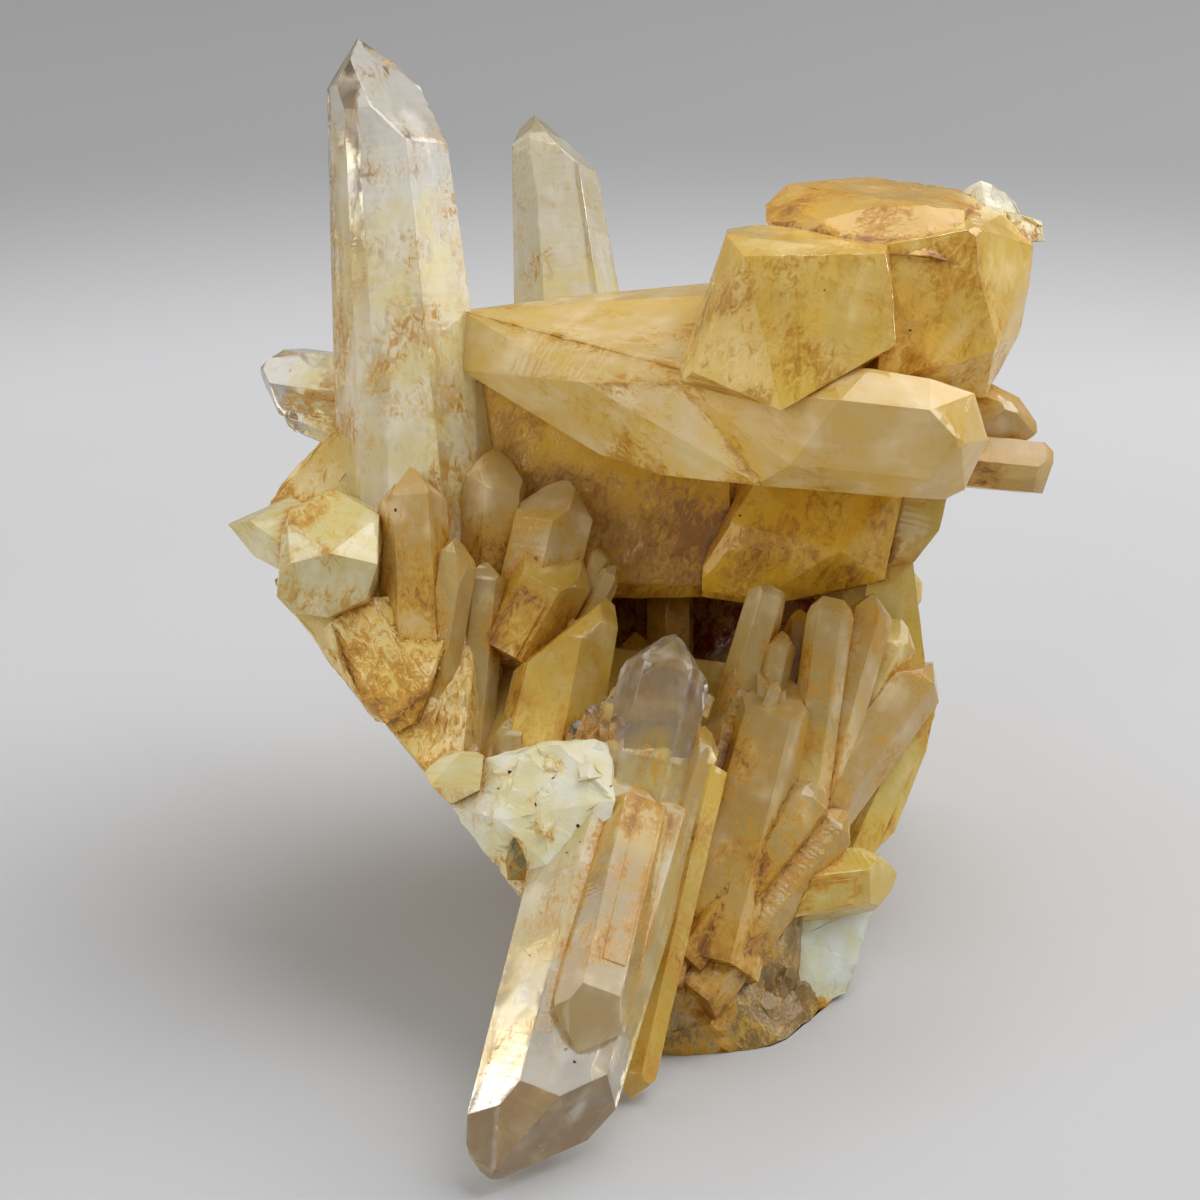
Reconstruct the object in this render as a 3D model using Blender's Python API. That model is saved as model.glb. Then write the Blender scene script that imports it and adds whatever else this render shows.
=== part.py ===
"""Mango quartz cluster: honey-yellow quartz crystals grown together on a broken plate.

The whole specimen grew as one piece, so it is one closed solid. It is made the way a quartz
cluster is described: straight six-sided crystals with pointed ends, heavy blocky crystals,
and lumps of broken matrix that carry them. All of them are convex, and one Boolean union
grows them together.

Places are given the way the cluster is seen from the front, in millimetres on a plane
through its middle: across to the right, up, and near, which is the depth toward the viewer.
"""
import bmesh
import bpy
import random
from math import cos, radians, sin, sqrt
from mathutils import Vector

# Driving dimensions, in millimetres and degrees
VIEW_DISTANCE = 450.0       # from the viewer to the plane through the cluster's middle
VIEW_TILT = 22.0            # how far the viewer looks down on the cluster
MIDDLE_HEIGHT = 34.8        # height of the middle of that plane above the table
RHOMB_ANGLE = 51.8          # quartz: from the long axis to the normal of an end face
MINOR_RAISE = 0.16          # how much further out the three lesser end faces lie, in widths
LUMP_LIFT = 0.5             # broken lumps end at least this far above the table
WELD_DISTANCE = 0.002       # points closer than this are one point
MM = 0.001

EYE_RIGHT = Vector((1.0, 0.0, 0.0))
EYE_UP = Vector((0.0, sin(radians(VIEW_TILT)), cos(radians(VIEW_TILT))))
EYE_NEAR = Vector((0.0, -cos(radians(VIEW_TILT)), sin(radians(VIEW_TILT))))

solids = []                 # one convex mesh for each crystal, block and lump


def shrink(near):
    """How much smaller than on the middle plane a thing at this depth really is."""
    return (VIEW_DISTANCE - near) / VIEW_DISTANCE


def place(across, up, near):
    """The point, in millimetres above the table, of a place seen from the front."""
    seen = EYE_RIGHT * across + EYE_UP * up
    return Vector((0.0, 0.0, MIDDLE_HEIGHT)) + seen * shrink(near) + EYE_NEAR * near


def keep(shape, name):
    """Store a closed convex mesh as one of the solids that grow together."""
    bmesh.ops.recalc_face_normals(shape, faces=shape.faces[:])
    mesh = bpy.data.meshes.new(name)
    shape.to_mesh(mesh)
    shape.free()
    solids.append(bpy.data.objects.new(name, mesh))


def cut(shape, point, normal):
    """Cut a convex mesh along a plane, drop the side that the normal points to, and close it."""
    bmesh.ops.bisect_plane(shape, geom=shape.verts[:] + shape.edges[:] + shape.faces[:],
                           dist=WELD_DISTANCE * MM * 0.1, plane_co=point * MM,
                           plane_no=normal, clear_outer=True)
    rim = [edge for edge in shape.edges if edge.is_boundary]
    if rim:
        bmesh.ops.contextual_create(shape, geom=rim)


def crystal(name, foot, tip, width, tip_width=None, face=90.0, shift=0.0,
            sideways=0.0, minor=MINOR_RAISE, thick=1.0, blunt=0.0):
    """A six-sided crystal from its foot to its pointed tip.

    face is where its largest end face looks, in degrees around the axis: 90 is toward the
    viewer, 0 is to the right of a crystal that points up. shift moves the tip away from that
    face, in half widths, so the face grows, and sideways moves the tip toward 0 degrees.
    thick is its depth against its width, and blunt is the length broken off its end.
    """
    foot_point = place(*foot)
    tip_point = place(*tip)
    scale = shrink(0.5 * (foot[2] + tip[2]))
    half_foot = 0.5 * width * scale
    half_tip = 0.5 * (tip_width or width) * scale
    axis = (tip_point - foot_point).normalized()
    side = axis.cross(EYE_NEAR).normalized()
    front = side.cross(axis)
    turn = radians(face)
    away = side * cos(turn) + front * sin(turn)
    end_point = tip_point + (away * shift - side * sideways) * half_tip
    axis = (end_point - foot_point).normalized()
    side = axis.cross(EYE_NEAR).normalized()
    front = side.cross(axis)
    length = (end_point - foot_point).length
    taper = (half_foot - half_tip) / length

    shape = bmesh.new()
    bmesh.ops.create_cube(shape, size=1.0)
    reach = 4.0 * (length + width)
    middle = foot_point + axis * 0.5 * length
    for vert in shape.verts:
        vert.co = (middle + vert.co * reach) * MM
    cut(shape, foot_point, -axis)
    for step in range(6):
        angle = turn + radians(60.0 * step)
        out = side * cos(angle) + front * sin(angle)
        reach_out = sqrt(cos(angle) ** 2 + (thick * sin(angle)) ** 2)
        cut(shape, foot_point + out * half_foot * reach_out,
            (out + axis * taper * reach_out).normalized())
        rise = 0.0 if step % 2 == 0 else minor * 2.0 * half_tip
        tilt = radians(RHOMB_ANGLE)
        cut(shape, tip_point + axis * rise, out * sin(tilt) + axis * cos(tilt))
    if blunt:
        cut(shape, tip_point - axis * blunt, (axis + side * 0.12 - front * 0.1).normalized())
    keep(shape, name)


def hull(name, points):
    """The convex solid around points given in millimetres above the table."""
    shape = bmesh.new()
    for point in points:
        shape.verts.new(point * MM)
    result = bmesh.ops.convex_hull(shape, input=shape.verts[:])
    spare = [item for item in result["geom_interior"] if isinstance(item, bmesh.types.BMVert)]
    bmesh.ops.delete(shape, geom=spare, context="VERTS")
    bmesh.ops.dissolve_limit(shape, angle_limit=radians(4.0), verts=shape.verts[:],
                             edges=shape.edges[:])
    bmesh.ops.triangulate(shape, faces=shape.faces[:])
    keep(shape, name)


def block(name, *places):
    """The convex solid around places seen from the front."""
    hull(name, [place(*spot) for spot in places])


def lump(name, middle, size, seed, corners=16):
    """A broken lump: the convex solid around corners scattered over a rounded shape."""
    chance = random.Random(seed)
    centre = place(*middle)
    points = []
    for _ in range(corners):
        way = Vector([chance.gauss(0.0, 1.0) for _ in range(3)]).normalized()
        way = way * chance.uniform(0.82, 1.0)
        point = centre + (EYE_RIGHT * way.x * size[0] + EYE_UP * way.y * size[1]
                          + EYE_NEAR * way.z * size[2])
        point.z = max(point.z, LUMP_LIFT)
        points.append(point)
    hull(name, points)


def tall_crystals():
    """The two long clear crystals that stand up at the back, and the short pair at the far left."""
    crystal("tall_left", foot=(-17.5, 1.0, -9.0), tip=(-24.2, 56.3, -16.0), width=15.2,
            tip_width=9.4, face=40.0, shift=1.4, sideways=0.6, minor=0.3)
    crystal("tall_back", foot=(-2.1, 18.0, -27.0), tip=(-6.6, 48.6, -34.0), width=11.0,
            tip_width=6.6, face=25.0, shift=0.5)
    crystal("stub_left", foot=(-22.0, 20.5, -16.0), tip=(-34.0, 22.6, -24.0), width=7.0,
            tip_width=6.6, face=250.0, shift=0.2)
    crystal("stub_left_low", foot=(-23.0, 16.0, -16.0), tip=(-31.6, 19.6, -22.0), width=3.8)


def beam():
    """The heavy crystal that lies across the top and comes forward at its right end."""
    block("beam_left",
          (-14.0, 29.0, -9.0), (-14.0, 23.0, -7.0), (-0.2, 30.5, -7.0), (11.5, 30.6, -4.0),
          (11.5, 31.8, -11.0), (-0.4, 30.7, -11.0), (-1.6, 21.7, 5.0), (8.0, 21.6, 10.0),
          (-6.0, 18.5, -1.0), (0.0, 14.5, 2.0), (6.0, 12.5, 6.0), (16.0, 11.4, 13.0),
          (16.0, 22.0, 14.0), (20.0, 29.0, -8.0), (-4.0, 17.0, -13.0), (18.0, 13.0, -10.0),
          (-10.0, 24.0, -14.0))
    block("beam_right",
          (8.0, 21.6, 10.0), (15.5, 11.4, 12.0), (23.0, 22.8, 20.0), (27.0, 23.2, 21.0),
          (33.0, 22.2, 21.0), (37.5, 20.7, 18.0), (38.9, 16.0, 16.0), (36.5, 11.0, 15.0),
          (34.5, 10.0, 15.0), (30.0, 10.2, 17.0), (24.0, 20.0, 24.0), (33.0, 19.0, 24.5),
          (36.2, 15.6, 22.0), (33.0, 12.0, 20.5), (19.0, 13.5, 18.0), (20.0, 24.0, -4.0),
          (34.0, 22.0, 0.0), (36.0, 14.0, 2.0), (20.0, 12.0, -6.0))


def golden_blocks():
    """The two broad golden crystals on top at the right, with a pale flake behind them."""
    block("gold_front",
          (12.8, 37.2, 8.0), (16.5, 37.8, 5.0), (12.8, 36.0, 14.0), (19.0, 34.2, 22.0),
          (27.0, 34.6, 20.0), (28.5, 34.5, 6.0), (29.0, 30.0, 22.0), (29.6, 25.5, 21.0),
          (23.3, 23.4, 23.5), (18.1, 18.9, 22.0), (8.0, 21.7, 15.0), (8.0, 23.3, 14.0),
          (11.3, 31.5, 11.0), (10.0, 24.0, -4.0), (12.0, 35.0, -3.0), (27.0, 34.0, -4.0),
          (28.0, 24.0, -2.0), (20.0, 19.0, 8.0))
    block("gold_top",
          (16.5, 39.5, 0.0), (18.7, 41.7, -4.0), (21.9, 41.9, -7.0), (26.8, 42.4, -11.0),
          (30.5, 41.9, -11.0), (36.1, 41.1, -9.0), (38.0, 40.0, -6.0), (18.9, 39.6, 3.0),
          (22.0, 38.0, 8.0), (26.7, 39.3, 7.0), (32.5, 39.6, 7.0), (36.5, 39.0, 5.0),
          (16.5, 37.8, 3.0), (24.5, 35.3, 11.0), (27.0, 34.7, 12.0), (33.0, 34.4, 12.0),
          (36.5, 33.5, 10.0), (20.0, 34.0, -12.0), (38.0, 34.0, -12.0))
    block("gold_back",
          (35.5, 40.6, -8.0), (40.3, 38.7, -4.0), (43.4, 35.5, -2.0),
          (43.0, 31.5, -1.0), (42.0, 26.5, 0.0), (39.0, 21.7, 0.0), (37.0, 37.4, 8.0),
          (28.0, 34.4, 11.0), (29.0, 28.5, 13.0), (34.0, 25.5, 13.0), (40.0, 26.0, 7.0),
          (35.5, 30.0, 13.5), (28.0, 22.4, 13.0), (30.0, 20.0, 6.0), (38.5, 20.2, 4.0),
          (26.0, 21.0, -4.0), (39.0, 37.0, -15.0),
          (41.0, 28.0, -13.0), (22.0, 26.0, -13.0), (36.0, 20.0, -9.0), (24.0, 35.0, -14.0))
    block("pale_flake",
          (35.0, 40.6, -8.0), (38.1, 41.8, -8.0), (39.3, 41.6, -8.0), (41.6, 39.9, -7.0),
          (42.2, 38.6, -6.5), (39.0, 37.0, -5.0), (36.0, 40.0, -12.0), (40.5, 39.0, -11.0))
    block("pale_flake_low",
          (40.5, 39.0, -5.0), (44.2, 38.1, -5.0), (44.4, 35.9, -5.0), (42.0, 35.4, -3.0),
          (41.0, 37.0, -9.0), (43.8, 36.4, -9.0))
    block("stub_right_top",
          (35.0, 21.6, 2.0), (39.0, 21.8, 0.0), (41.9, 20.3, 0.0), (43.7, 17.8, 0.0),
          (43.9, 16.2, 0.0), (35.0, 14.5, 3.0), (38.0, 21.0, -8.0), (42.5, 18.0, -7.0),
          (35.0, 14.0, -7.0), (41.0, 19.5, 3.0))
    crystal("stub_right", foot=(33.0, 14.2, 1.0), tip=(47.0, 12.9, -1.0), width=5.2,
            face=60.0, blunt=2.6, thick=1.3)


def back_wall():
    """The amber wall behind the pocket, its right column, and the dark gap below it."""
    block("wall_left",
          (-13.0, 22.0, -9.0), (4.0, 16.0, -8.0), (13.0, 14.0, -8.0), (13.0, 1.4, -8.0),
          (10.0, 0.2, -9.0), (2.0, 2.3, -10.0), (-9.0, 0.0, -10.0), (-14.0, 2.0, -9.0),
          (-10.0, 24.0, -26.0), (15.0, 22.0, -26.0), (15.0, 3.0, -27.0), (3.0, 3.5, -27.0),
          (-9.0, 4.0, -25.0))
    block("wall_right",
          (15.6, 12.0, -3.0), (13.0, 7.7, -2.0), (12.0, 5.0, -2.5), (10.2, 3.1, -3.5),
          (10.0, 0.2, -5.0), (15.0, -0.6, -4.0), (20.0, 0.0, -4.0), (28.5, 2.0, -5.0),
          (29.5, 6.0, -5.0), (30.5, 11.5, -4.0), (24.0, 5.0, -1.0), (13.0, 14.0, -26.0),
          (31.0, 12.0, -24.0), (29.0, 1.0, -25.0), (11.0, 1.5, -26.0))
    block("column_top",
          (29.0, 12.0, -6.0), (34.8, 11.0, -6.0), (34.6, 9.0, -5.0), (34.0, 7.0, -5.0),
          (32.5, 5.2, -6.0), (31.5, 3.8, -7.0), (28.0, 3.0, -6.0), (33.0, 11.0, -22.0),
          (32.0, 5.0, -20.0), (27.0, 3.0, -18.0))
    block("column_low",
          (27.0, 4.0, -6.0), (31.3, 4.2, -7.0), (31.9, 1.0, -7.0), (31.6, -2.0, -7.0),
          (32.6, -6.5, -7.0), (28.0, -8.0, -4.0), (26.0, -3.0, -4.0), (30.0, 3.0, -22.0),
          (31.0, -6.0, -22.0), (25.0, -8.0, -20.0))
    block("gap_back_right",
          (5.8, 4.0, -25.0), (20.0, 4.0, -22.0), (26.0, 2.0, -22.0), (26.0, -12.0, -22.0),
          (5.8, -12.0, -22.0), (6.5, 4.0, -34.0), (25.0, 3.0, -33.0), (25.0, -12.0, -33.0),
          (6.5, -12.0, -32.0))
    block("gap_back_left",
          (-9.0, 4.0, -20.0), (5.0, 4.0, -24.0), (5.0, -12.0, -21.0), (-8.0, -12.0, -18.0),
          (-7.0, 5.0, -31.0), (4.6, 4.0, -33.0), (4.6, -12.0, -31.0), (-6.0, -12.0, -29.0))
    crystal("gap_pillar", foot=(7.0, -9.0, -14.0), tip=(7.0, 4.5, -15.0), width=4.4, face=70.0)
    crystal("gap_small", foot=(3.6, -12.0, -12.0), tip=(3.4, -3.0, -13.0), width=3.2)


def pocket_crystals():
    """The clear crystals that stand up out of the pocket, nearest last."""
    crystal("pocket_far_left", foot=(-11.6, -3.0, -3.0), tip=(-10.6, 15.3, -6.0), width=6.2,
            face=70.0, shift=0.2)
    crystal("pocket_amber", foot=(-8.2, -7.0, 0.0), tip=(-3.2, 12.3, -5.0), width=7.8,
            face=120.0, shift=0.2)
    crystal("pocket_slant", foot=(-9.5, -6.0, 2.0), tip=(-2.4, 6.0, -2.0), width=7.2,
            face=100.0, shift=0.4)
    crystal("pocket_needle_1", foot=(-5.5, -8.0, 1.0), tip=(0.4, 5.4, -2.0), width=2.2)
    crystal("pocket_needle_2", foot=(-4.0, -8.0, 2.0), tip=(1.6, 3.6, -1.0), width=2.2)
    crystal("pocket_left", foot=(-13.4, -18.0, 7.0), tip=(-11.3, 3.9, 1.0), width=4.3,
            tip_width=3.8, face=90.0)
    crystal("pocket_broad", foot=(-6.2, -19.0, 10.0), tip=(0.7, 0.4, 4.0), width=9.4,
            tip_width=8.2, face=165.0, shift=0.75)
    crystal("pocket_small_1", foot=(-8.6, -18.0, 12.0), tip=(-9.0, -11.6, 11.0), width=3.6)
    crystal("pocket_small_2", foot=(0.0, -18.0, 13.0), tip=(2.9, -8.0, 10.0), width=2.6)
    crystal("pocket_small_3", foot=(-1.0, -18.0, 14.0), tip=(1.5, -9.8, 11.5), width=2.2)
    crystal("pocket_small_4", foot=(-2.4, -18.0, 14.0), tip=(-0.3, -10.3, 12.5), width=2.0)
    crystal("pocket_small_5", foot=(-3.6, -18.0, 14.0), tip=(-1.8, -11.8, 13.0), width=2.0)
    crystal("pocket_clear", foot=(0.6, -33.0, 20.0), tip=(7.5, -3.3, 9.0), width=9.0,
            tip_width=7.8, face=92.0, minor=0.1)
    crystal("pocket_beside", foot=(4.4, -33.0, 20.0), tip=(10.6, -12.5, 10.5), width=3.8,
            face=60.0, shift=0.2)
    crystal("pocket_front", foot=(0.4, -30.0, 22.0), tip=(2.6, -13.0, 14.0), width=4.0,
            face=110.0)
    crystal("right_behind", foot=(18.8, -18.0, 2.0), tip=(20.0, -0.8, -2.0), width=2.6)
    crystal("right_flat_1", foot=(10.6, -20.0, 7.0), tip=(17.4, 2.4, 1.0), width=3.8,
            face=80.0, blunt=1.3)
    crystal("right_flat_2", foot=(15.0, -18.0, 7.0), tip=(18.3, -3.0, 3.0), width=3.0)
    crystal("right_flat_3", foot=(20.2, -22.0, 8.0), tip=(23.4, 1.0, 2.0), width=4.2,
            face=95.0, blunt=1.0)
    crystal("right_streaked", foot=(21.6, -20.0, 5.0), tip=(27.6, 1.0, -1.0), width=4.4,
            face=40.0)


def left_group():
    """The cream and brownish crystals at the left edge, down to the stained slab."""
    block("left_shoulder",
          (-33.2, 9.5, -6.0), (-31.6, 12.2, -8.0), (-30.0, 13.8, -9.0), (-27.5, 15.7, -10.0),
          (-25.0, 19.0, -11.0), (-21.0, 18.0, -10.0), (-22.0, 4.0, -4.0), (-31.0, 6.0, -4.0),
          (-27.0, 12.0, -16.0), (-20.0, 14.0, -18.0), (-20.0, 4.0, -16.0), (-29.0, 6.0, -12.0))
    block("left_spike",
          (-37.3, 7.6, -2.0), (-35.1, 8.0, 1.0), (-31.7, 9.3, -2.0), (-31.0, 10.4, -6.0),
          (-36.1, 5.9, -1.0), (-34.6, 4.3, 0.0), (-32.1, 3.0, 3.0), (-31.0, 5.0, 6.0),
          (-28.0, 6.0, -8.0), (-26.0, 8.0, 2.0), (-28.0, 3.0, 2.0))
    block("left_cream",
          (-32.0, 3.4, 9.0), (-27.0, 4.7, 11.0), (-22.2, 3.6, 9.5), (-31.8, 8.7, 3.0),
          (-27.0, 11.3, 0.0), (-22.1, 8.5, 3.0), (-32.4, 0.3, 6.0), (-30.9, -1.3, 5.0),
          (-27.3, -1.8, 6.5), (-23.3, 0.1, 8.5), (-23.2, 2.6, 9.5), (-30.0, 9.0, -9.0),
          (-21.0, 9.0, -9.0), (-30.0, 1.0, -6.0), (-22.0, -2.0, -6.0))
    crystal("left_brown", foot=(-17.8, -8.0, 6.0), tip=(-19.0, 13.4, 0.0), width=6.6,
            tip_width=6.0, face=90.0, minor=0.05)
    crystal("left_lit", foot=(-17.2, -12.0, 8.0), tip=(-14.4, 6.4, 3.0), width=4.0,
            face=40.0, shift=0.3)
    block("left_slab",
          (-27.0, -2.2, 6.0), (-23.0, 0.4, 5.0), (-17.0, 0.8, 5.0), (-14.8, -1.0, 5.0),
          (-15.5, -5.0, 9.0), (-17.5, -10.0, 12.5), (-18.5, -12.5, 13.5),
          (-20.5, -13.3, 13.5), (-23.8, -10.0, 11.0), (-26.0, -5.5, 8.0), (-29.0, -3.5, 1.0),
          (-18.0, 0.0, -8.0), (-16.0, -11.0, 1.0), (-23.4, -11.4, 6.0))


def plate():
    """The broken plate that carries the left side, seen nearly edge on."""
    block("plate_left",
          (-32.5, 2.0, 0.0), (-31.5, -0.4, 2.0), (-26.5, -6.0, 4.0), (-22.0, -12.4, 8.0),
          (-19.6, -13.9, 12.0), (-17.4, -17.0, 14.0), (-14.6, -20.8, 13.0),
          (-10.0, -17.0, 12.0), (-14.0, 0.0, 3.0), (-22.0, 6.0, 0.0), (-9.0, 0.0, -4.0),
          (-28.0, 6.0, -12.0), (-20.0, 8.0, -20.0), (-10.0, 10.0, -22.0),
          (-6.0, -14.0, -12.0), (-12.0, -16.0, 0.0))
    block("plate_floor",
          (-14.0, -17.0, 8.0), (-9.0, -15.0, 10.0), (4.0, -13.0, 8.0), (8.0, -9.0, 0.0),
          (26.0, -8.0, -6.0), (29.0, -8.0, -18.0), (4.0, -7.5, -22.0), (-8.0, -5.0, -20.0),
          (-12.0, -3.0, -6.0), (-6.0, -27.0, 6.0), (24.0, -26.0, -2.0), (26.0, -24.0, -20.0),
          (0.0, -24.0, -18.0), (16.0, -14.0, 4.0))
    block("front_stub",
          (-17.6, -17.2, 17.0), (-15.5, -14.8, 16.0), (-13.3, -14.6, 17.0),
          (-11.6, -15.5, 18.0), (-12.0, -19.0, 20.5), (-15.0, -20.5, 19.5),
          (-17.0, -18.6, 18.5), (-14.0, -16.0, 6.0), (-11.0, -16.0, 6.0), (-12.0, -20.0, 8.0))
    block("front_white",
          (-11.4, -15.9, 17.0), (-7.9, -15.0, 18.0), (-4.7, -13.9, 18.0), (-2.1, -14.2, 18.0),
          (1.0, -14.0, 17.0), (1.5, -20.0, 23.0), (0.0, -26.0, 24.0), (-5.0, -27.0, 24.0),
          (-10.0, -22.0, 22.0), (-9.0, -28.5, 20.0), (-7.7, -30.2, 20.0),
          (-12.2, -22.8, 19.0), (-14.9, -20.7, 18.0), (-13.0, -16.5, 4.0), (2.0, -15.0, 3.0),
          (4.0, -28.0, 4.0), (-6.5, -31.0, 10.0))
    block("front_yellow",
          (0.0, -15.4, 14.0), (4.6, -17.5, 14.0), (9.4, -17.0, 12.5), (9.6, -20.0, 14.5),
          (6.8, -27.0, 20.5), (0.0, -28.0, 23.0), (2.0, -16.0, 6.0), (12.0, -16.0, 5.0),
          (8.0, -28.0, 6.0))


def front_points():
    """The big clear crystals that slope down to the table in front."""
    crystal("front_big", foot=(2.2, -22.0, 15.0), tip=(-11.0, -58.0, 42.6), width=15.0,
            tip_width=12.4, face=160.0, shift=0.5, minor=0.06, thick=0.8)
    crystal("front_inner", foot=(3.4, -22.0, 19.5), tip=(-2.2, -45.4, 39.0), width=7.6,
            tip_width=6.8, face=100.0, shift=0.2)
    crystal("front_thin", foot=(10.6, -17.0, 12.0), tip=(3.1, -50.0, 25.4), width=4.0,
            tip_width=3.6, face=70.0)


def lower_right():
    """The streaked crystals at the lower right, steep ones and diagonal ones, and pale blocks."""
    crystal("streak_left", foot=(6.4, -39.0, 18.0), tip=(13.4, -11.0, 5.0), width=4.2,
            face=80.0)
    crystal("streak_broad", foot=(10.5, -37.0, 14.0), tip=(18.6, -7.4, 3.0), width=9.6,
            tip_width=8.0, face=100.0, shift=0.2)
    crystal("diagonal_1", foot=(8.0, -36.4, 16.5), tip=(22.4, -17.8, 7.5), width=5.2,
            face=80.0, minor=0.05)
    crystal("diagonal_2", foot=(9.0, -40.0, 16.5), tip=(24.7, -21.0, 6.5), width=5.8,
            tip_width=4.2, face=100.0)
    block("lower_face",
          (6.4, -40.0, 18.6), (10.5, -37.6, 17.4), (15.0, -34.0, 14.6), (20.6, -30.4, 10.6),
          (19.0, -38.0, 10.4), (17.5, -40.5, 11.0), (19.8, -41.4, 9.2), (16.6, -43.2, 12.4),
          (13.0, -43.8, 14.6), (8.5, -44.2, 16.6), (5.5, -44.2, 17.4), (12.0, -36.0, 4.0),
          (18.0, -38.0, 2.0), (6.0, -40.0, 8.0))
    crystal("right_diagonal", foot=(15.5, -29.0, 8.0), tip=(33.4, -6.1, -5.0), width=7.0,
            tip_width=6.4, face=150.0, shift=0.3)
    crystal("right_between", foot=(20.0, -22.0, 3.0), tip=(30.2, -1.8, -4.0), width=5.0,
            face=100.0, shift=0.2)
    crystal("right_rim", foot=(24.0, -27.0, 0.0), tip=(32.3, -8.4, -7.0), width=5.0,
            tip_width=4.6, face=120.0)
    block("right_edge",
          (33.2, -7.4, -8.0), (33.8, -10.0, -7.0), (33.0, -14.0, -6.0), (32.1, -17.5, -5.0),
          (30.8, -20.6, -4.0), (29.6, -24.0, -3.0), (27.0, -26.0, 0.0), (24.0, -20.0, 1.0),
          (27.0, -8.0, -4.0), (31.0, -9.0, -20.0), (29.0, -20.0, -18.0), (24.0, -24.0, -16.0))
    crystal("yellow_point", foot=(15.0, -29.6, 10.0), tip=(29.8, -27.4, 4.0), width=7.0,
            tip_width=5.8, face=80.0, shift=0.2)
    block("blue_white",
          (20.6, -30.8, 8.5), (27.4, -30.4, 3.5), (26.7, -32.1, 4.0), (25.7, -35.7, 4.0),
          (24.7, -40.0, 5.8), (22.9, -40.5, 7.0), (18.9, -41.2, 8.5), (17.8, -39.0, 10.0),
          (19.4, -34.0, 10.0), (26.0, -30.0, -8.0), (24.0, -34.0, -5.0), (16.0, -32.0, 0.0),
          (16.0, -39.5, 7.0))


def base():
    """The broken matrix under everything: it ends in the flat face that the cluster rests on."""
    resting = [(4.8, -31.0), (8.5, -31.2), (14.0, -30.2), (16.5, -29.4), (18.2, -27.8),
               (19.8, -23.7), (23.5, -19.0), (26.5, -2.0), (24.0, 13.0), (10.0, 19.0),
               (-3.0, 12.0), (-5.0, -2.0), (-2.0, -18.0)]
    upper = [(5.4, -43.0, 17.5), (10.0, -42.0, 17.0), (15.5, -42.5, 14.5), (19.5, -40.5, 10.0),
             (13.0, -36.0, 15.0), (5.0, -36.0, 17.0), (25.0, -28.0, 0.0), (27.0, -18.0, -8.0),
             (24.0, -8.0, -22.0), (10.0, -6.0, -27.0), (0.0, -8.0, -22.0), (-8.0, -16.0, -8.0),
             (-6.0, -26.0, 6.0), (-2.0, -28.0, 14.0)]
    hull("base", [Vector((x, y, 0.0)) for x, y in resting] + [place(*spot) for spot in upper])
    lump("base_left", (2.0, -21.0, -9.0), (8.5, 7.0, 9.0), seed=21)
    lump("base_back", (14.0, -20.0, -22.0), (14.0, 8.0, 8.0), seed=24, corners=22)
    lump("base_right", (22.4, -18.6, -12.5), (6.5, 9.0, 9.0), seed=29)


def far_side():
    """The crystals and broken lumps of the back and the underside."""
    lump("back_lump_1", (2.0, 10.0, -26.0), (11.0, 11.0, 9.0), seed=3)
    lump("back_lump_2", (20.0, 8.0, -26.0), (12.0, 13.0, 8.0), seed=5)
    lump("back_lump_3", (12.0, -12.0, -26.0), (14.0, 11.0, 10.0), seed=8)
    lump("back_lump_4", (-16.0, 4.0, -16.0), (9.0, 8.0, 9.0), seed=13)
    crystal("back_up_1", foot=(12.0, 14.0, -24.0), tip=(16.5, 31.0, -40.0), width=8.0,
            face=200.0, shift=0.3)
    crystal("back_up_2", foot=(20.0, 10.0, -24.0), tip=(28.0, 24.0, -37.0), width=7.0,
            face=240.0)
    crystal("back_out_1", foot=(4.0, 6.0, -26.0), tip=(1.5, 10.0, -48.0), width=8.4,
            face=30.0, shift=0.4)
    crystal("back_out_2", foot=(14.0, 4.0, -26.0), tip=(17.0, 4.0, -45.0), width=6.6, face=80.0)
    crystal("back_out_3", foot=(22.0, -2.0, -24.0), tip=(28.5, -6.0, -40.0), width=7.4,
            face=130.0, shift=0.3)
    crystal("back_low_1", foot=(8.0, -10.0, -26.0), tip=(6.0, -13.0, -46.0), width=7.6,
            face=20.0)
    crystal("back_low_2", foot=(17.0, -12.0, -26.0), tip=(20.5, -16.5, -42.0), width=5.8,
            face=60.0, shift=0.2)
    crystal("back_low_3", foot=(-3.0, -2.0, -20.0), tip=(-9.5, 0.5, -36.0), width=6.0, face=75.0)
    lump("gold_lump", (31.0, 32.0, -14.0), (10.0, 7.0, 5.5), seed=34)
    crystal("side_1", foot=(24.0, 2.0, -10.0), tip=(31.0, 0.4, -22.0), width=6.2, face=40.0)
    crystal("side_2", foot=(25.0, -8.0, -9.0), tip=(32.0, -9.6, -20.0), width=6.4, face=70.0,
            shift=0.3)
    crystal("side_3", foot=(23.0, -16.0, -8.0), tip=(30.0, -17.0, -19.0), width=5.8, face=20.0)
    crystal("side_4", foot=(21.0, -22.0, -6.0), tip=(27.0, -22.6, -16.0), width=4.8, face=55.0)
    crystal("side_5", foot=(26.0, 8.0, -12.0), tip=(32.6, 8.6, -22.0), width=5.6, face=35.0,
            shift=0.2)
    crystal("under_left_3", foot=(-15.0, -6.0, -4.0), tip=(-18.6, -7.2, -19.0), width=5.2,
            face=80.0)
    crystal("under_left_1", foot=(-16.0, 2.0, -12.0), tip=(-21.5, 3.0, -30.0), width=7.0,
            face=110.0, shift=0.3)
    crystal("under_left_2", foot=(-10.0, -6.0, -10.0), tip=(-13.0, -7.5, -26.0), width=6.0,
            face=50.0)


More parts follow.
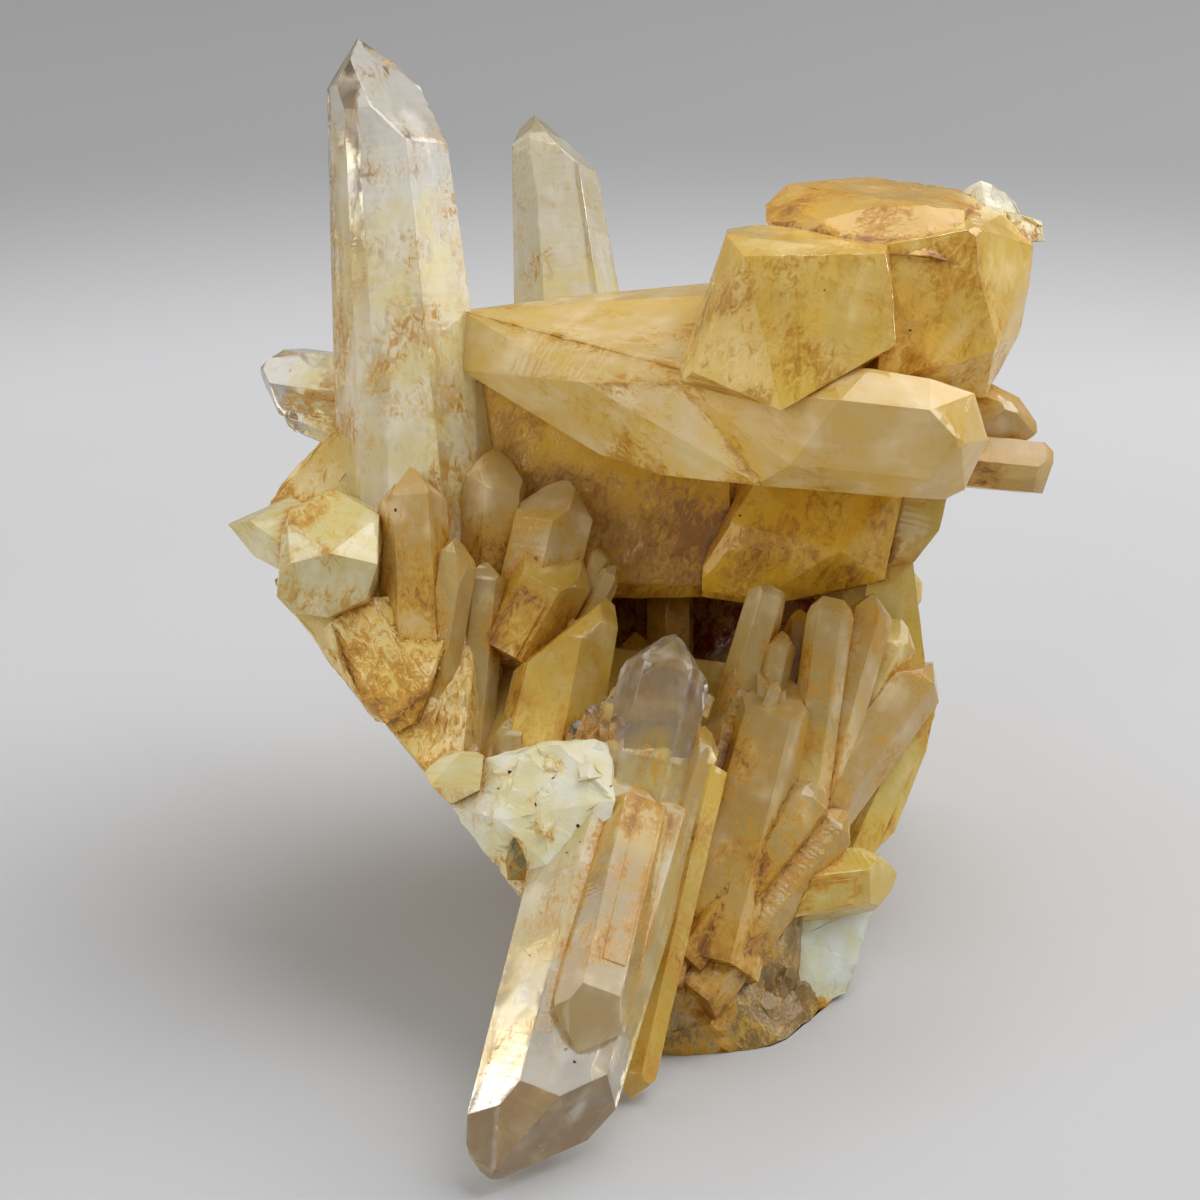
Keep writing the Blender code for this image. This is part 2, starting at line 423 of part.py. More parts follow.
def grow_together():
    """Join the solids into one closed mesh, and drop any space that is sealed inside it."""
    pieces = bpy.data.collections.new("pieces")
    bpy.context.scene.collection.children.link(pieces)
    body = solids[0]
    bpy.context.scene.collection.objects.link(body)
    for piece in solids[1:]:
        pieces.objects.link(piece)
    union = body.modifiers.new("grown_together", "BOOLEAN")
    union.operation = "UNION"
    union.operand_type = "COLLECTION"
    union.collection = pieces
    union.solver = "EXACT"
    grown = body.evaluated_get(bpy.context.evaluated_depsgraph_get())
    mesh = bpy.data.meshes.new_from_object(grown)
    for piece in solids:
        bpy.data.objects.remove(piece)
    bpy.data.collections.remove(pieces)
    return mesh


def shells(shape):
    """The separate closed surfaces of a mesh, each as a list of faces."""
    left = set(shape.faces)
    found = []
    while left:
        queue = [left.pop()]
        shell = []
        while queue:
            face = queue.pop()
            shell.append(face)
            for edge in face.edges:
                for other in edge.link_faces:
                    if other in left:
                        left.remove(other)
                        queue.append(other)
        found.append(shell)
    return found


def tidy(mesh):
    """Weld points that nearly meet and keep only the outer surface."""
    shape = bmesh.new()
    shape.from_mesh(mesh)
    bmesh.ops.remove_doubles(shape, verts=shape.verts[:], dist=WELD_DISTANCE * MM)
    bmesh.ops.dissolve_degenerate(shape, dist=WELD_DISTANCE * MM, edges=shape.edges[:])
    outer = max(shells(shape), key=len)
    spare = [face for shell in shells(shape) if shell[0] not in outer for face in shell]
    bmesh.ops.delete(shape, geom=spare, context="FACES")
    bmesh.ops.triangulate(shape, faces=shape.faces[:])
    shape.to_mesh(mesh)
    shape.free()


def quartz():
    """Honey-yellow, slightly cloudy quartz."""
    material = bpy.data.materials.new("honey_quartz")
    material.use_nodes = True
    shader = material.node_tree.nodes["Principled BSDF"]
    shader.inputs["Base Color"].default_value = (0.62, 0.40, 0.14, 1.0)
    shader.inputs["Roughness"].default_value = 0.18
    shader.inputs["Metallic"].default_value = 0.0
    shader.inputs["IOR"].default_value = 1.54
    shader.inputs["Transmission Weight"].default_value = 0.4
    return material


def main():
    for old in list(bpy.data.objects):
        bpy.data.objects.remove(old)
    base()
    tall_crystals()
    beam()
    golden_blocks()
    back_wall()
    pocket_crystals()
    left_group()
    plate()
    front_points()
    lower_right()
    far_side()
    mesh = grow_together()
    tidy(mesh)
    cluster = bpy.data.objects.new("quartz_cluster", mesh)
    mesh.materials.clear()
    mesh.materials.append(quartz())
    bpy.context.scene.collection.objects.link(cluster)


main()
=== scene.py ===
"""The looks of the mango quartz cluster: every crystal, block and lump of the solid, in detail.

The solid's own shapes are made again here from the same values, with rounded edges, chips and
growth ledges. Each region of the cluster is one closed mesh, and they replace the plain solid.
Places are given the way the cluster is seen from the front, in millimetres on a plane through
its middle: across to the right, up, and near, which is the depth toward the viewer.
"""
import random
from collections import namedtuple
from math import cos, exp, radians, sin, sqrt

import bmesh
import bpy
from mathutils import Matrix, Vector, noise
from mathutils.kdtree import KDTree


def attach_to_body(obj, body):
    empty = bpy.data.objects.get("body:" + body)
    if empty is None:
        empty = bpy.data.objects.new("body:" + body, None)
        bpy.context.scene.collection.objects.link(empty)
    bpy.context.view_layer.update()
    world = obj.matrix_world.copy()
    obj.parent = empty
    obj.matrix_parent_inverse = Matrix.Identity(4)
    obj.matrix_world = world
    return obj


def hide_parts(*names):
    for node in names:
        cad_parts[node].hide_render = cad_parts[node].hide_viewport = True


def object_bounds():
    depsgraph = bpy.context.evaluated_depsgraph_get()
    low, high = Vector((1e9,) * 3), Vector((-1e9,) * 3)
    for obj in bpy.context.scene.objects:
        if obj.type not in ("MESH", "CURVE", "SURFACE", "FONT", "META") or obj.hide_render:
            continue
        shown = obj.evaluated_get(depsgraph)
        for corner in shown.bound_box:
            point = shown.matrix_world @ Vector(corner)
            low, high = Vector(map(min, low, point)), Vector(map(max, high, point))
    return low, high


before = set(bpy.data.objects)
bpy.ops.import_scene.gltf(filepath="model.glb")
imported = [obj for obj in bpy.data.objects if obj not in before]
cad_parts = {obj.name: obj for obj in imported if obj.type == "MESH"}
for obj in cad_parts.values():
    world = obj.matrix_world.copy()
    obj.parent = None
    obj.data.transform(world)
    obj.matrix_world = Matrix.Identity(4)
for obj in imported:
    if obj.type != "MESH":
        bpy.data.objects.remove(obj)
cad_low, cad_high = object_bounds()
scene = bpy.context.scene

# Driving dimensions, in millimetres and degrees
VIEW_DISTANCE = 450.0   # from the viewer to the plane through the cluster's middle
VIEW_TILT = 22.0        # how far the viewer looks down on the cluster
VIEW_WIDTH = 120.0      # width of the picture on that plane
MIDDLE_HEIGHT = 34.8    # height of the middle of that plane above the table
RHOMB_ANGLE = 51.8      # quartz: from the long axis to the normal of an end face
MINOR_RAISE = 0.16      # how much further out the three lesser end faces lie, in widths
LUMP_LIFT = 0.5         # broken lumps end at least this far above the table
EDGE_ROUND = 0.1        # the worn rounding of crystal edges
LEDGE_HEIGHT = 0.05     # how far a growth ledge stands out, in half widths
CHIP_DEPTH = 0.35       # the usual depth of a chip at a corner
MESH_EDGE = 1.35        # longest edge of the finished meshes
REFINE_PASSES = 7       # how many times longer edges may be halved
WELD_DISTANCE = 0.0002  # points closer than this are one point
SHORT_EDGE = 0.02       # edges shorter than this are dropped before the rounding
SHARP_ANGLE = 26.0      # edges sharper than this stay crisp
MERGE_ANGLE = 8.0       # faces of a block that meet flatter than this become one
CREVICE_ANGLE = 14.0    # inner corners sharper than this gather grime
CREVICE_REACH = 0.6     # how far grime spreads from an inner corner
SMALLEST_SHELL = 0.2    # side of a cube: closed surfaces with less inside are dropped
REST_BAND = 0.02        # points this near the table belong to the flat face it rests on
REST_GAP = 0.03         # all other points stay at least this far above the table
MM = 0.001              # one millimetre in metres

# How the shapes vary: low and high shares of the value that each one follows
CHIP_SIZES = (0.4, 1.5)
CHIP_SLOPE = 0.25       # how far a chip's plane may tip each way
CRYSTAL_CHIPS = 2
LEDGE_CHIPS = 1
BLOCK_CHIPS = 4
LEDGE_WIDTHS = (0.45, 0.8)
LEDGE_HEIGHTS = (0.5, 1.6)
LEDGE_CUTS = (0.08, 0.45)
LEDGE_SWING = 0.5       # radians to either side of a face
BREAK_SLOPE = (0.12, 0.1)   # how a broken end slopes, to the side and back
BLOCK_AXIS = (0.2, 0.3, 1.0)  # how a block's growth lines run where nothing else is said
END_FACE = 0.15         # faces this square to the crystal's axis are end faces
LUMP_RADII = (0.82, 1.0)
SPRAY_SIZES = (0.55, 1.0)
SPRAY_FAN = 0.35        # how far the small crystals of a tuft lean apart
SPRAY_FACES = (0.0, 120.0)

# Broken surfaces: waves for each millimetre, and depths in millimetres
BROAD_WAVES = 0.28
BROAD_DEPTH = 0.55
GRAIN_CELLS = 0.75
GRAIN_DEPTH = 0.38
WARP_WAVES = 0.4
WARP_REACH = 1.5
SWELL_WAVES = 0.22
SWELL_DEPTH = 0.05
SWELL_START = Vector((7.0, 3.0, 1.0))
NOISE_SEED = 7          # without it the warp would be another one in each run

view_angle = radians(VIEW_TILT)
EYE_RIGHT = Vector((1.0, 0.0, 0.0))
EYE_UP = Vector((0.0, sin(view_angle), cos(view_angle)))
EYE_NEAR = Vector((0.0, -cos(view_angle), sin(view_angle)))


def linear(red, green, blue):
    """A colour given in the usual 0 to 255 steps, as the light it sends back."""
    light = [((step / 255.0 + 0.055) / 1.055) ** 2.4 for step in (red, green, blue)]
    return (*light, 1.0)


# tint is the body colour, clear how see-through the end is, start where along the crystal it
# clears, stain how rusty it is and rough how broken its surface is
Look = namedtuple("Look", "tint clear start stain rough")
WATER = Look((250, 242, 208), 0.96, 0.42, 0.36, 0.0)
GHOST = Look((250, 242, 214), 0.7, 0.25, 0.24, 0.0)
CLOUDY = Look((244, 228, 182), 0.92, 0.36, 0.24, 0.0)
GLASSY = Look((244, 216, 146), 0.55, 0.1, 0.38, 0.0)
SMOKY = Look((230, 202, 136), 0.62, 0.1, 0.32, 0.0)
HONEY = Look((250, 216, 122), 0.42, 0.15, 0.42, 0.0)
CREAMY = Look((244, 216, 150), 0.28, 0.1, 0.26, 0.05)
WAX = Look((246, 212, 140), 0.28, 0.1, 0.2, 0.05)
GOLD = Look((253, 218, 122), 0.36, 0.1, 0.4, 0.1)
GILT = Look((238, 192, 88), 0.32, 0.1, 0.5, 0.15)
LEMON = Look((232, 206, 120), 0.28, 0.2, 0.32, 0.05)
CREAM = Look((242, 230, 180), 0.24, 0.2, 0.38, 0.0)
AMBER = Look((250, 198, 64), 0.18, 0.1, 0.54, 0.15)
# A dark red for the deep gap: painted shade, tinted like light come through thick amber
HOLE_SHADE = Look((150, 26, 2), 0.1, 0.0, 0.3, 0.2)
OLIVE = Look((180, 136, 50), 0.3, 0.1, 0.45, 0.0)
TAN = Look((236, 204, 144), 0.42, 0.2, 0.46, 0.05)
STREAKED = Look((210, 176, 112), 0.3, 0.15, 0.5, 0.08)
WHITE = Look((236, 232, 208), 0.05, 0.0, 0.14, 0.6)
ICE = Look((236, 240, 230), 0.16, 0.0, 0.08, 0.35)
MATRIX = Look((140, 112, 64), 0.0, 0.0, 0.36, 0.8)
GREENISH = Look((132, 124, 90), 0.05, 0.0, 0.1, 0.7)
SHELL = Look((238, 214, 148), 0.08, 0.0, 0.5, 0.5)

solids = []             # the convex meshes of the region being made


def shrink(near):
    """How much smaller than on the middle plane a thing at this depth really is."""
    return (VIEW_DISTANCE - near) / VIEW_DISTANCE


def place(across, up, near):
    """The point, in millimetres above the table, of a place seen from the front."""
    seen = EYE_RIGHT * across + EYE_UP * up
    return Vector((0.0, 0.0, MIDDLE_HEIGHT)) + seen * shrink(near) + EYE_NEAR * near


def cut(shape, point, normal):
    """Cut a convex mesh along a plane, drop the side that the normal points to, and close it."""
    bmesh.ops.bisect_plane(shape, geom=shape.verts[:] + shape.edges[:] + shape.faces[:],
                           dist=WELD_DISTANCE * MM, plane_co=point * MM,
                           plane_no=normal, clear_outer=True)
    rim = [edge for edge in shape.edges if edge.is_boundary]
    if rim:
        bmesh.ops.contextual_create(shape, geom=rim)


def chip(shape, chance, count):
    """Break small flakes off some of the corners of a convex mesh."""
    for _ in range(count):
        shape.verts.ensure_lookup_table()
        shape.normal_update()
        vert = shape.verts[chance.randrange(len(shape.verts))]
        out = sum((face.normal for face in vert.link_faces), Vector()).normalized()
        tip = Vector([chance.uniform(-CHIP_SLOPE, CHIP_SLOPE) for _ in range(3)])
        depth = CHIP_DEPTH * chance.uniform(*CHIP_SIZES)
        cut(shape, vert.co / MM - out * depth, (out + tip).normalized())
        bmesh.ops.recalc_face_normals(shape, faces=shape.faces[:])


def baked(shape, name):
    """The finished mesh made from this shape, which is let go."""
    mesh = bpy.data.meshes.new(name)
    shape.to_mesh(mesh)
    shape.free()
    return mesh


def paint(shape, axis, foot, length, look):
    """Store on the mesh what its material needs: how it lies, how far along, and its look."""
    lie = shape.loops.layers.uv.new("lie")
    along = shape.loops.layers.uv.new("along")
    tint = shape.loops.layers.float_color.new("tint")
    habit = shape.loops.layers.float_color.new("habit")
    light = linear(*look.tint)
    for face in shape.faces:
        across = axis.cross(face.normal)
        if across.length < END_FACE:
            across = axis.orthogonal()
        across.normalize()
        for loop in face.loops:
            spot = loop.vert.co
            run = (spot / MM - foot).dot(axis)
            loop[lie].uv = (run * MM, spot.dot(across))
            loop[along].uv = (run / length, 0.0)
            loop[tint] = light
            loop[habit] = (look.clear, look.start, look.stain, look.rough)


def keep(shape, name, axis, foot, length, look, chips):
    """Chip, round and paint a closed convex mesh, and store it with the region's solids."""
    bmesh.ops.recalc_face_normals(shape, faces=shape.faces[:])
    chip(shape, random.Random(name), chips)
    bmesh.ops.dissolve_degenerate(shape, dist=SHORT_EDGE * MM, edges=shape.edges[:])
    bmesh.ops.bevel(shape, geom=shape.edges[:], offset=EDGE_ROUND * MM, offset_type="OFFSET",
                    segments=2, profile=0.6, affect="EDGES", clamp_overlap=True)
    bmesh.ops.recalc_face_normals(shape, faces=shape.faces[:])
    shape.normal_update()
    paint(shape, axis, foot, length, look)
    solids.append(bpy.data.objects.new(name, baked(shape, name)))


def sides(axis):
    """The directions to the right and to the front of a crystal that points along the axis."""
    side = axis.cross(EYE_NEAR).normalized()
    return side, side.cross(axis)


def prism(foot_point, tip_point, axis, half_foot, half_tip, turn, minor, thick):
    """The closed mesh of one six-sided crystal with its three main and three lesser end faces."""
    side, front = sides(axis)
    length = (tip_point - foot_point).dot(axis)
    taper = (half_foot - half_tip) / length
    shape = bmesh.new()
    bmesh.ops.create_cube(shape, size=1.0)
    reach = 4.0 * (length + 2.0 * half_foot)
    middle = foot_point + axis * 0.5 * length
    for vert in shape.verts:
        vert.co = (middle + vert.co * reach) * MM
    cut(shape, foot_point, -axis)
    for step in range(6):
        angle = turn + radians(60.0 * step)
        out = side * cos(angle) + front * sin(angle)
        reach_out = sqrt(cos(angle) ** 2 + (thick * sin(angle)) ** 2)
        cut(shape, foot_point + out * half_foot * reach_out,
            (out + axis * taper * reach_out).normalized())
        rise = 0.0 if step % 2 == 0 else minor * 2.0 * half_tip
        tilt = radians(RHOMB_ANGLE)
        cut(shape, tip_point + axis * rise, out * sin(tilt) + axis * cos(tilt))
    return shape


def crystal(name, foot, tip, width, look, tip_width=None, face=90.0, shift=0.0,
            sideways=0.0, minor=MINOR_RAISE, thick=1.0, blunt=0.0, ledges=2):
    """A six-sided crystal from its foot to its pointed tip, with growth ledges on its sides.

    face is where its largest end face looks, in degrees around the axis: 90 is toward the
    viewer, 0 is to the right of a crystal that points up. shift moves the tip away from that
    face, in half widths, so the face grows, and sideways moves the tip toward 0 degrees.
    thick is its depth against its width, and blunt is the length broken off its end.
    """
    foot_point = place(*foot)
    tip_point = place(*tip)
    scale = shrink(0.5 * (foot[2] + tip[2]))
    half_foot = 0.5 * width * scale
    half_tip = 0.5 * (tip_width or width) * scale
    axis = (tip_point - foot_point).normalized()
    side, front = sides(axis)
    turn = radians(face)
    away = side * cos(turn) + front * sin(turn)
    end_point = tip_point + (away * shift - side * sideways) * half_tip
    axis = (end_point - foot_point).normalized()
    side, front = sides(axis)
    length = (end_point - foot_point).length

    def trunk(drift, narrow, short):
        """One prism of the crystal, set off the middle and narrower and shorter by these."""
        shape = prism(foot_point + drift, tip_point + drift - axis * length * short, axis,
                      half_foot * narrow, half_tip * narrow, turn, minor, thick)
        if blunt:
            slope = side * BREAK_SLOPE[0] - front * BREAK_SLOPE[1]
            cut(shape, tip_point - axis * blunt, (axis + slope).normalized())
        return shape

    keep(trunk(Vector(), 1.0, 0.0), name, axis, foot_point, length, look, CRYSTAL_CHIPS)
    chance = random.Random(name + " ledges")
    for count in range(ledges):
        narrow = chance.uniform(*LEDGE_WIDTHS)
        bearing = turn + radians(60.0 * chance.randrange(6))
        bearing += chance.uniform(-LEDGE_SWING, LEDGE_SWING)
        out = side * cos(bearing) + front * sin(bearing) * thick
        drift = out * half_tip * (1.0 + LEDGE_HEIGHT * chance.uniform(*LEDGE_HEIGHTS) - narrow)
        keep(trunk(drift, narrow, chance.uniform(*LEDGE_CUTS)), f"{name}_ledge_{count}", axis,
             foot_point, length, look, LEDGE_CHIPS)


def hull(name, points, look, axis=None):
    """The convex solid around points given in millimetres above the table."""
    shape = bmesh.new()
    for point in points:
        shape.verts.new(point * MM)
    result = bmesh.ops.convex_hull(shape, input=shape.verts[:])
    spare = [item for item in result["geom_interior"] if isinstance(item, bmesh.types.BMVert)]
    bmesh.ops.delete(shape, geom=spare, context="VERTS")
    bmesh.ops.dissolve_limit(shape, angle_limit=radians(MERGE_ANGLE), verts=shape.verts[:],
                             edges=shape.edges[:])
    middle = sum(points, Vector()) / len(points)
    axis = (axis or Vector(BLOCK_AXIS)).normalized()
    length = max(abs((point - middle).dot(axis)) for point in points) * 2.0
    keep(shape, name, axis, middle - axis * 0.5 * length, length, look, BLOCK_CHIPS)


def block(name, look, *places, toward=None):
    """The convex solid around places seen from the front, and the way its crystal points."""
    axis = None
    if toward:
        axis = EYE_RIGHT * toward[0] + EYE_UP * toward[1] + EYE_NEAR * toward[2]
    hull(name, [place(*spot) for spot in places], look, axis)


def lump(name, middle, size, seed, look, corners=16):
    """A broken lump: the convex solid around corners scattered over a rounded shape."""
    chance = random.Random(seed)
    centre = place(*middle)
    points = []
    for _ in range(corners):
        way = Vector([chance.gauss(0.0, 1.0) for _ in range(3)]).normalized()
        way = way * chance.uniform(*LUMP_RADII)
        point = centre + (EYE_RIGHT * way.x * size[0] + EYE_UP * way.y * size[1]
                          + EYE_NEAR * way.z * size[2])
        point.z = max(point.z, LUMP_LIFT)
        points.append(point)
    hull(name, points, look)


def spray(name, middle, spread, toward, count, width, height, look, seed):
    """A tuft of small crystals round a place, all pointing roughly the same way."""
    chance = random.Random(seed)
    for number in range(count):
        foot = [middle[way] + spread[way] * chance.uniform(-1.0, 1.0) for way in range(3)]
        lean = [toward[way] + SPRAY_FAN * chance.uniform(-1.0, 1.0) for way in range(3)]
        size = chance.uniform(*SPRAY_SIZES)
        tip = [foot[way] + lean[way] * height * size for way in range(3)]
        crystal(f"{name}_{number}", foot, tip, width * size, look,
                face=chance.uniform(*SPRAY_FACES), ledges=0)


def tall_crystals():
    """The two long clear crystals that stand up at the back, and the short pair at the far left."""
    crystal("tall_left", (-17.5, 1, -9), (-24.2, 56.3, -16), 15.2, WATER, tip_width=9.4, face=40,
            shift=1.4, sideways=0.6, minor=0.3, ledges=4)
    crystal("tall_back", (-2.1, 18, -27), (-6.6, 48.6, -34), 11, GHOST, tip_width=6.6, face=25,
            shift=0.5)
    crystal("stub_left", (-22, 20.5, -16), (-34, 22.6, -24), 7, WATER, tip_width=6.6, face=250,
            shift=0.2)
    crystal("stub_left_low", (-23, 16, -16), (-31.6, 19.6, -22), 3.8, WATER)


def beam():
    """The heavy crystal that lies across the top and comes forward at its right end."""
    block("beam_left", CREAMY, (-14, 29, -9), (-14, 23, -7), (-0.2, 30.5, -7), (11.5, 30.6, -4),
          (11.5, 31.8, -11), (-0.4, 30.7, -11), (-1.6, 21.7, 5), (8, 21.6, 10), (-6, 18.5, -1),
          (0, 14.5, 2), (6, 12.5, 6), (16, 11.4, 13), (16, 22, 14), (20, 29, -8), (-4, 17, -13),
          (18, 13, -10), (-10, 24, -14), toward=(-0.9, 0.4, -0.3))
    block("beam_right", WAX, (8, 21.6, 10), (15.5, 11.4, 12), (23, 22.8, 20), (27, 23.2, 21),
          (33, 22.2, 21), (37.5, 20.7, 18), (38.9, 16, 16), (36.5, 11, 15), (34.5, 10, 15),
          (30, 10.2, 17), (24, 20, 24), (33, 19, 24.5), (36.2, 15.6, 22), (33, 12, 20.5),
          (19, 13.5, 18), (20, 24, -4), (34, 22, 0), (36, 14, 2), (20, 12, -6),
          toward=(0.9, -0.15, 0.3))


def golden_blocks():
    """The two broad golden crystals on top at the right, with a pale flake behind them."""
    block("gold_front", GOLD, (12.8, 37.2, 8), (16.5, 37.8, 5), (12.6, 36.6, 14),
          (14.4, 34.4, 20.4), (28.6, 34.7, 20.2), (28.9, 36, 6), (29.4, 30, 20.8),
          (29.6, 25.5, 21.2), (23.3, 22.4, 21.8), (18.1, 18.9, 22), (9.2, 22.8, 20.4),
          (8, 21.7, 15), (8, 23.3, 14), (11.3, 31.5, 13.5), (10, 24, -4), (12, 35, -3),
          (27, 34, -4), (28, 24, -2), (20, 19, 8), toward=(0.3, 0.9, -0.2))
    block("gold_top", GILT, (16.5, 39.5, 0), (18.7, 41.7, -4), (21.9, 41.9, -7), (26.8, 42.4, -11),
          (30.5, 41.9, -11), (36.1, 41.1, -9), (38, 40, -6), (18.9, 39.6, 3), (22, 38, 8),
          (26.7, 39.3, 7), (32.5, 39.6, 7), (36.5, 39, 5), (16.5, 37.8, 3), (24.5, 35.3, 11),
          (27, 34.7, 12), (33, 34.4, 12), (36.5, 33.5, 10), (20, 34, -12), (38, 34, -12),
          toward=(1, 0.15, -0.4))
    block("gold_back", GOLD, (35.5, 40.6, -8), (40.3, 38.7, -4), (43.4, 35.5, -2), (43, 31.5, -1),
          (42, 26.5, 0), (39, 21.7, 0), (37.6, 37.2, 10), (28, 35.4, 12), (29, 28.5, 12.6),
          (34, 24.8, 12.4), (39.6, 25.4, 8.6), (38, 31, 10.6), (28, 22.4, 12.8), (30, 20, 6),
          (38.5, 20.2, 4), (26, 21, -4), (39, 37, -15), (41, 28, -13), (22, 26, -13), (36, 20, -9),
          (24, 35, -14), toward=(0.4, 0.9, -0.3))
    block("pale_flake", WHITE, (35, 40.6, -8), (38.1, 41.8, -8), (39.3, 41.6, -8), (41.6, 39.9, -7),
          (42.2, 38.6, -6.5), (39, 37, -5), (36, 40, -12), (40.5, 39, -11))
    block("pale_flake_low", WHITE, (40.5, 39, -5), (44.2, 38.1, -5), (44.4, 35.9, -5),
          (42, 35.4, -3), (41, 37, -9), (43.8, 36.4, -9))
    lump("gold_lump", (31, 32, -14), (10, 7, 5.5), 34, GOLD)


def right_stubs():
    """The two grey-tan stubs behind the right end of the beam."""
    block("stub_right_top", TAN, (35, 21.6, 2), (39, 21.8, 0), (41.9, 20.3, 0), (43.7, 17.8, 0),
          (43.9, 16.2, 0), (35, 14.5, 3), (38, 21, -8), (42.5, 18, -7), (35, 14, -7), (41, 19.5, 3),
          toward=(0.9, -0.4, 0.1))
    crystal("stub_right", (33, 14.2, 1), (47, 12.9, -1), 5.2, TAN, face=60, blunt=2.6, thick=1.3)


def back_wall():
    """The amber wall behind the pocket, its right column, and the gap below in painted shade."""
    block("wall_left", AMBER, (-13, 22, -9), (4, 16, -8), (13, 14, -8), (13, 1.4, -8),
          (10, 0.2, -9), (2, 2.3, -10), (-9, 0, -10), (-14, 2, -9), (-10, 24, -26), (15, 22, -26),
          (15, 3, -27), (3, 3.5, -27), (-9, 4, -25), toward=(0.3, 0.9, -0.3))
    block("wall_right", AMBER, (15.6, 12, -3), (13, 7.7, -2), (12, 5, -2.5), (10.2, 3.1, -3.5),
          (10, 0.2, -5), (15, -0.6, -4), (20, 0, -4), (28.5, 2, -5), (29.5, 6, -5),
          (30.5, 11.5, -4), (24, 5, -1), (13, 14, -26), (31, 12, -24), (29, 1, -25), (11, 1.5, -26),
          toward=(0.4, 0.9, 0.1))
    block("column_top", LEMON, (29, 12, -6), (34.8, 11, -6), (34.6, 9, -5), (34, 7, -5),
          (32.5, 5.2, -6), (31.5, 3.8, -7), (28, 3, -6), (33, 11, -22), (32, 5, -20), (27, 3, -18))
    block("column_low", LEMON, (27, 4, -6), (31.3, 4.2, -7), (31.9, 1, -7), (31.6, -2, -7),
          (32.6, -6.5, -7), (28, -8, -4), (26, -3, -4), (30, 3, -22), (31, -6, -22), (25, -8, -20))
    block("gap_back_right", SHELL, (5.8, 4, -25.6), (20, 4, -22.6), (26, 2, -22.6),
          (26, -12, -22.6), (5.8, -12, -22.6), (6.5, 4, -34), (25, 3, -33), (25, -12, -33),
          (6.5, -12, -32))
    block("gap_back_left", SHELL, (-9, 4, -20.6), (5, 4, -24.6), (5, -12, -21.6), (-8, -12, -18.6),
          (-7, 5, -31), (4.6, 4, -33), (4.6, -12, -31), (-6, -12, -29))
    # Thin dark red skins on the back of the gap: painted shade of the deep hole, tinted like light
    # through thick amber
    block("gap_deep_right", HOLE_SHADE, (6, 3.6, -25), (20, 3.6, -22), (25.4, 1.8, -22),
          (25.4, -11.6, -22), (6, -11.6, -22), (15, -4, -28))
    block("gap_deep_left", HOLE_SHADE, (-8.4, 3.6, -20), (4.8, 3.6, -24), (4.8, -11.6, -21),
          (-7.4, -11.6, -18), (-1, -4, -26))
    crystal("gap_pillar", (7, -9, -14), (7, 4.5, -15), 4.4, OLIVE, face=70)
    crystal("gap_small", (3.6, -12, -12), (3.4, -3, -13), 3.2, OLIVE)


def pocket_crystals():
    """The clear crystals that stand up out of the pocket, nearest last."""
    crystal("pocket_far_left", (-11.6, -3, -3), (-10.6, 15.3, -6), 6.2, TAN, face=70, shift=0.2)
    crystal("pocket_amber", (-8.2, -7, 0), (-3.2, 12.3, -5), 7.8, TAN, face=120, shift=0.2)
    crystal("pocket_slant", (-9.5, -6, 2), (-2.4, 6, -2), 7.2, HONEY, face=100, shift=0.4)
    crystal("pocket_needle_1", (-5.5, -8, 1), (0.4, 5.4, -2), 2.2, GLASSY)
    crystal("pocket_needle_2", (-4, -8, 2), (1.6, 3.6, -1), 2.2, GLASSY)
    crystal("pocket_left", (-13.4, -18, 7), (-11.3, 3.9, 1), 4.3, GLASSY, tip_width=3.8)
    crystal("pocket_broad", (-6.2, -19, 10), (0.7, 0.4, 4), 9.4, HONEY, tip_width=8.2, face=165,
            shift=0.75)
    crystal("pocket_small_1", (-8.6, -18, 12), (-9, -11.6, 11), 3.6, GLASSY)
    crystal("pocket_small_2", (0, -18, 13), (2.9, -8, 10), 2.6, GLASSY)
    crystal("pocket_small_3", (-1, -18, 14), (1.5, -9.8, 11.5), 2.2, GLASSY)
    crystal("pocket_small_4", (-2.4, -18, 14), (-0.3, -10.3, 12.5), 2, WATER)
    crystal("pocket_small_5", (-3.6, -18, 14), (-1.8, -11.8, 13), 2, WATER)
    crystal("pocket_clear", (0.6, -33, 20), (7.5, -3.3, 9), 9, CLOUDY, tip_width=7.8, face=92,
            minor=0.1, ledges=3)
    crystal("pocket_beside", (4.4, -33, 20), (10.6, -12.5, 10.5), 3.8, GLASSY, face=60, shift=0.2)
    crystal("pocket_front", (0.4, -30, 22), (2.6, -13, 14), 4, GLASSY, face=110)
    spray("pocket_tuft_left", (-10.5, -16.6, 11.5), (2.6, 1.2, 0.6), (0, 1, -0.3), 7, 1.7, 4.2,
          GLASSY, seed=41)
    spray("pocket_tuft_middle", (-6, -14.5, 10.5), (3.4, 1.6, 0.8), (0.2, 1, -0.3), 8, 1.8, 4.6,
          GLASSY, seed=42)
    spray("pocket_tuft_near", (0.6, -15, 14), (2.4, 1.2, 0.6), (0.25, 1, -0.4), 9, 1.6, 4.8, WATER,
          seed=43)
    spray("pocket_tuft_deep", (-4, -6, 3), (4, 1.6, 0.8), (0.2, 1, -0.2), 8, 1.6, 4.4, GLASSY,
          seed=44)
    spray("pocket_tuft_right", (14, -14, 7.5), (4, 3, 0.8), (0.3, 1, -0.3), 8, 1.7, 5, GLASSY,
          seed=45)
    crystal("right_behind", (18.8, -18, 2), (20, -0.8, -2), 2.6, OLIVE)
    crystal("right_flat_1", (10.6, -20, 7), (17.4, 2.4, 1), 3.8, GLASSY, face=80, blunt=1.3)
    crystal("right_flat_2", (15, -18, 7), (18.3, -3, 3), 3, GLASSY)
    crystal("right_flat_3", (20.2, -22, 8), (23.4, 1, 2), 4.2, GLASSY, face=95, blunt=1)
    crystal("right_streaked", (21.6, -20, 5), (27.6, 1, -1), 4.4, TAN, face=40)


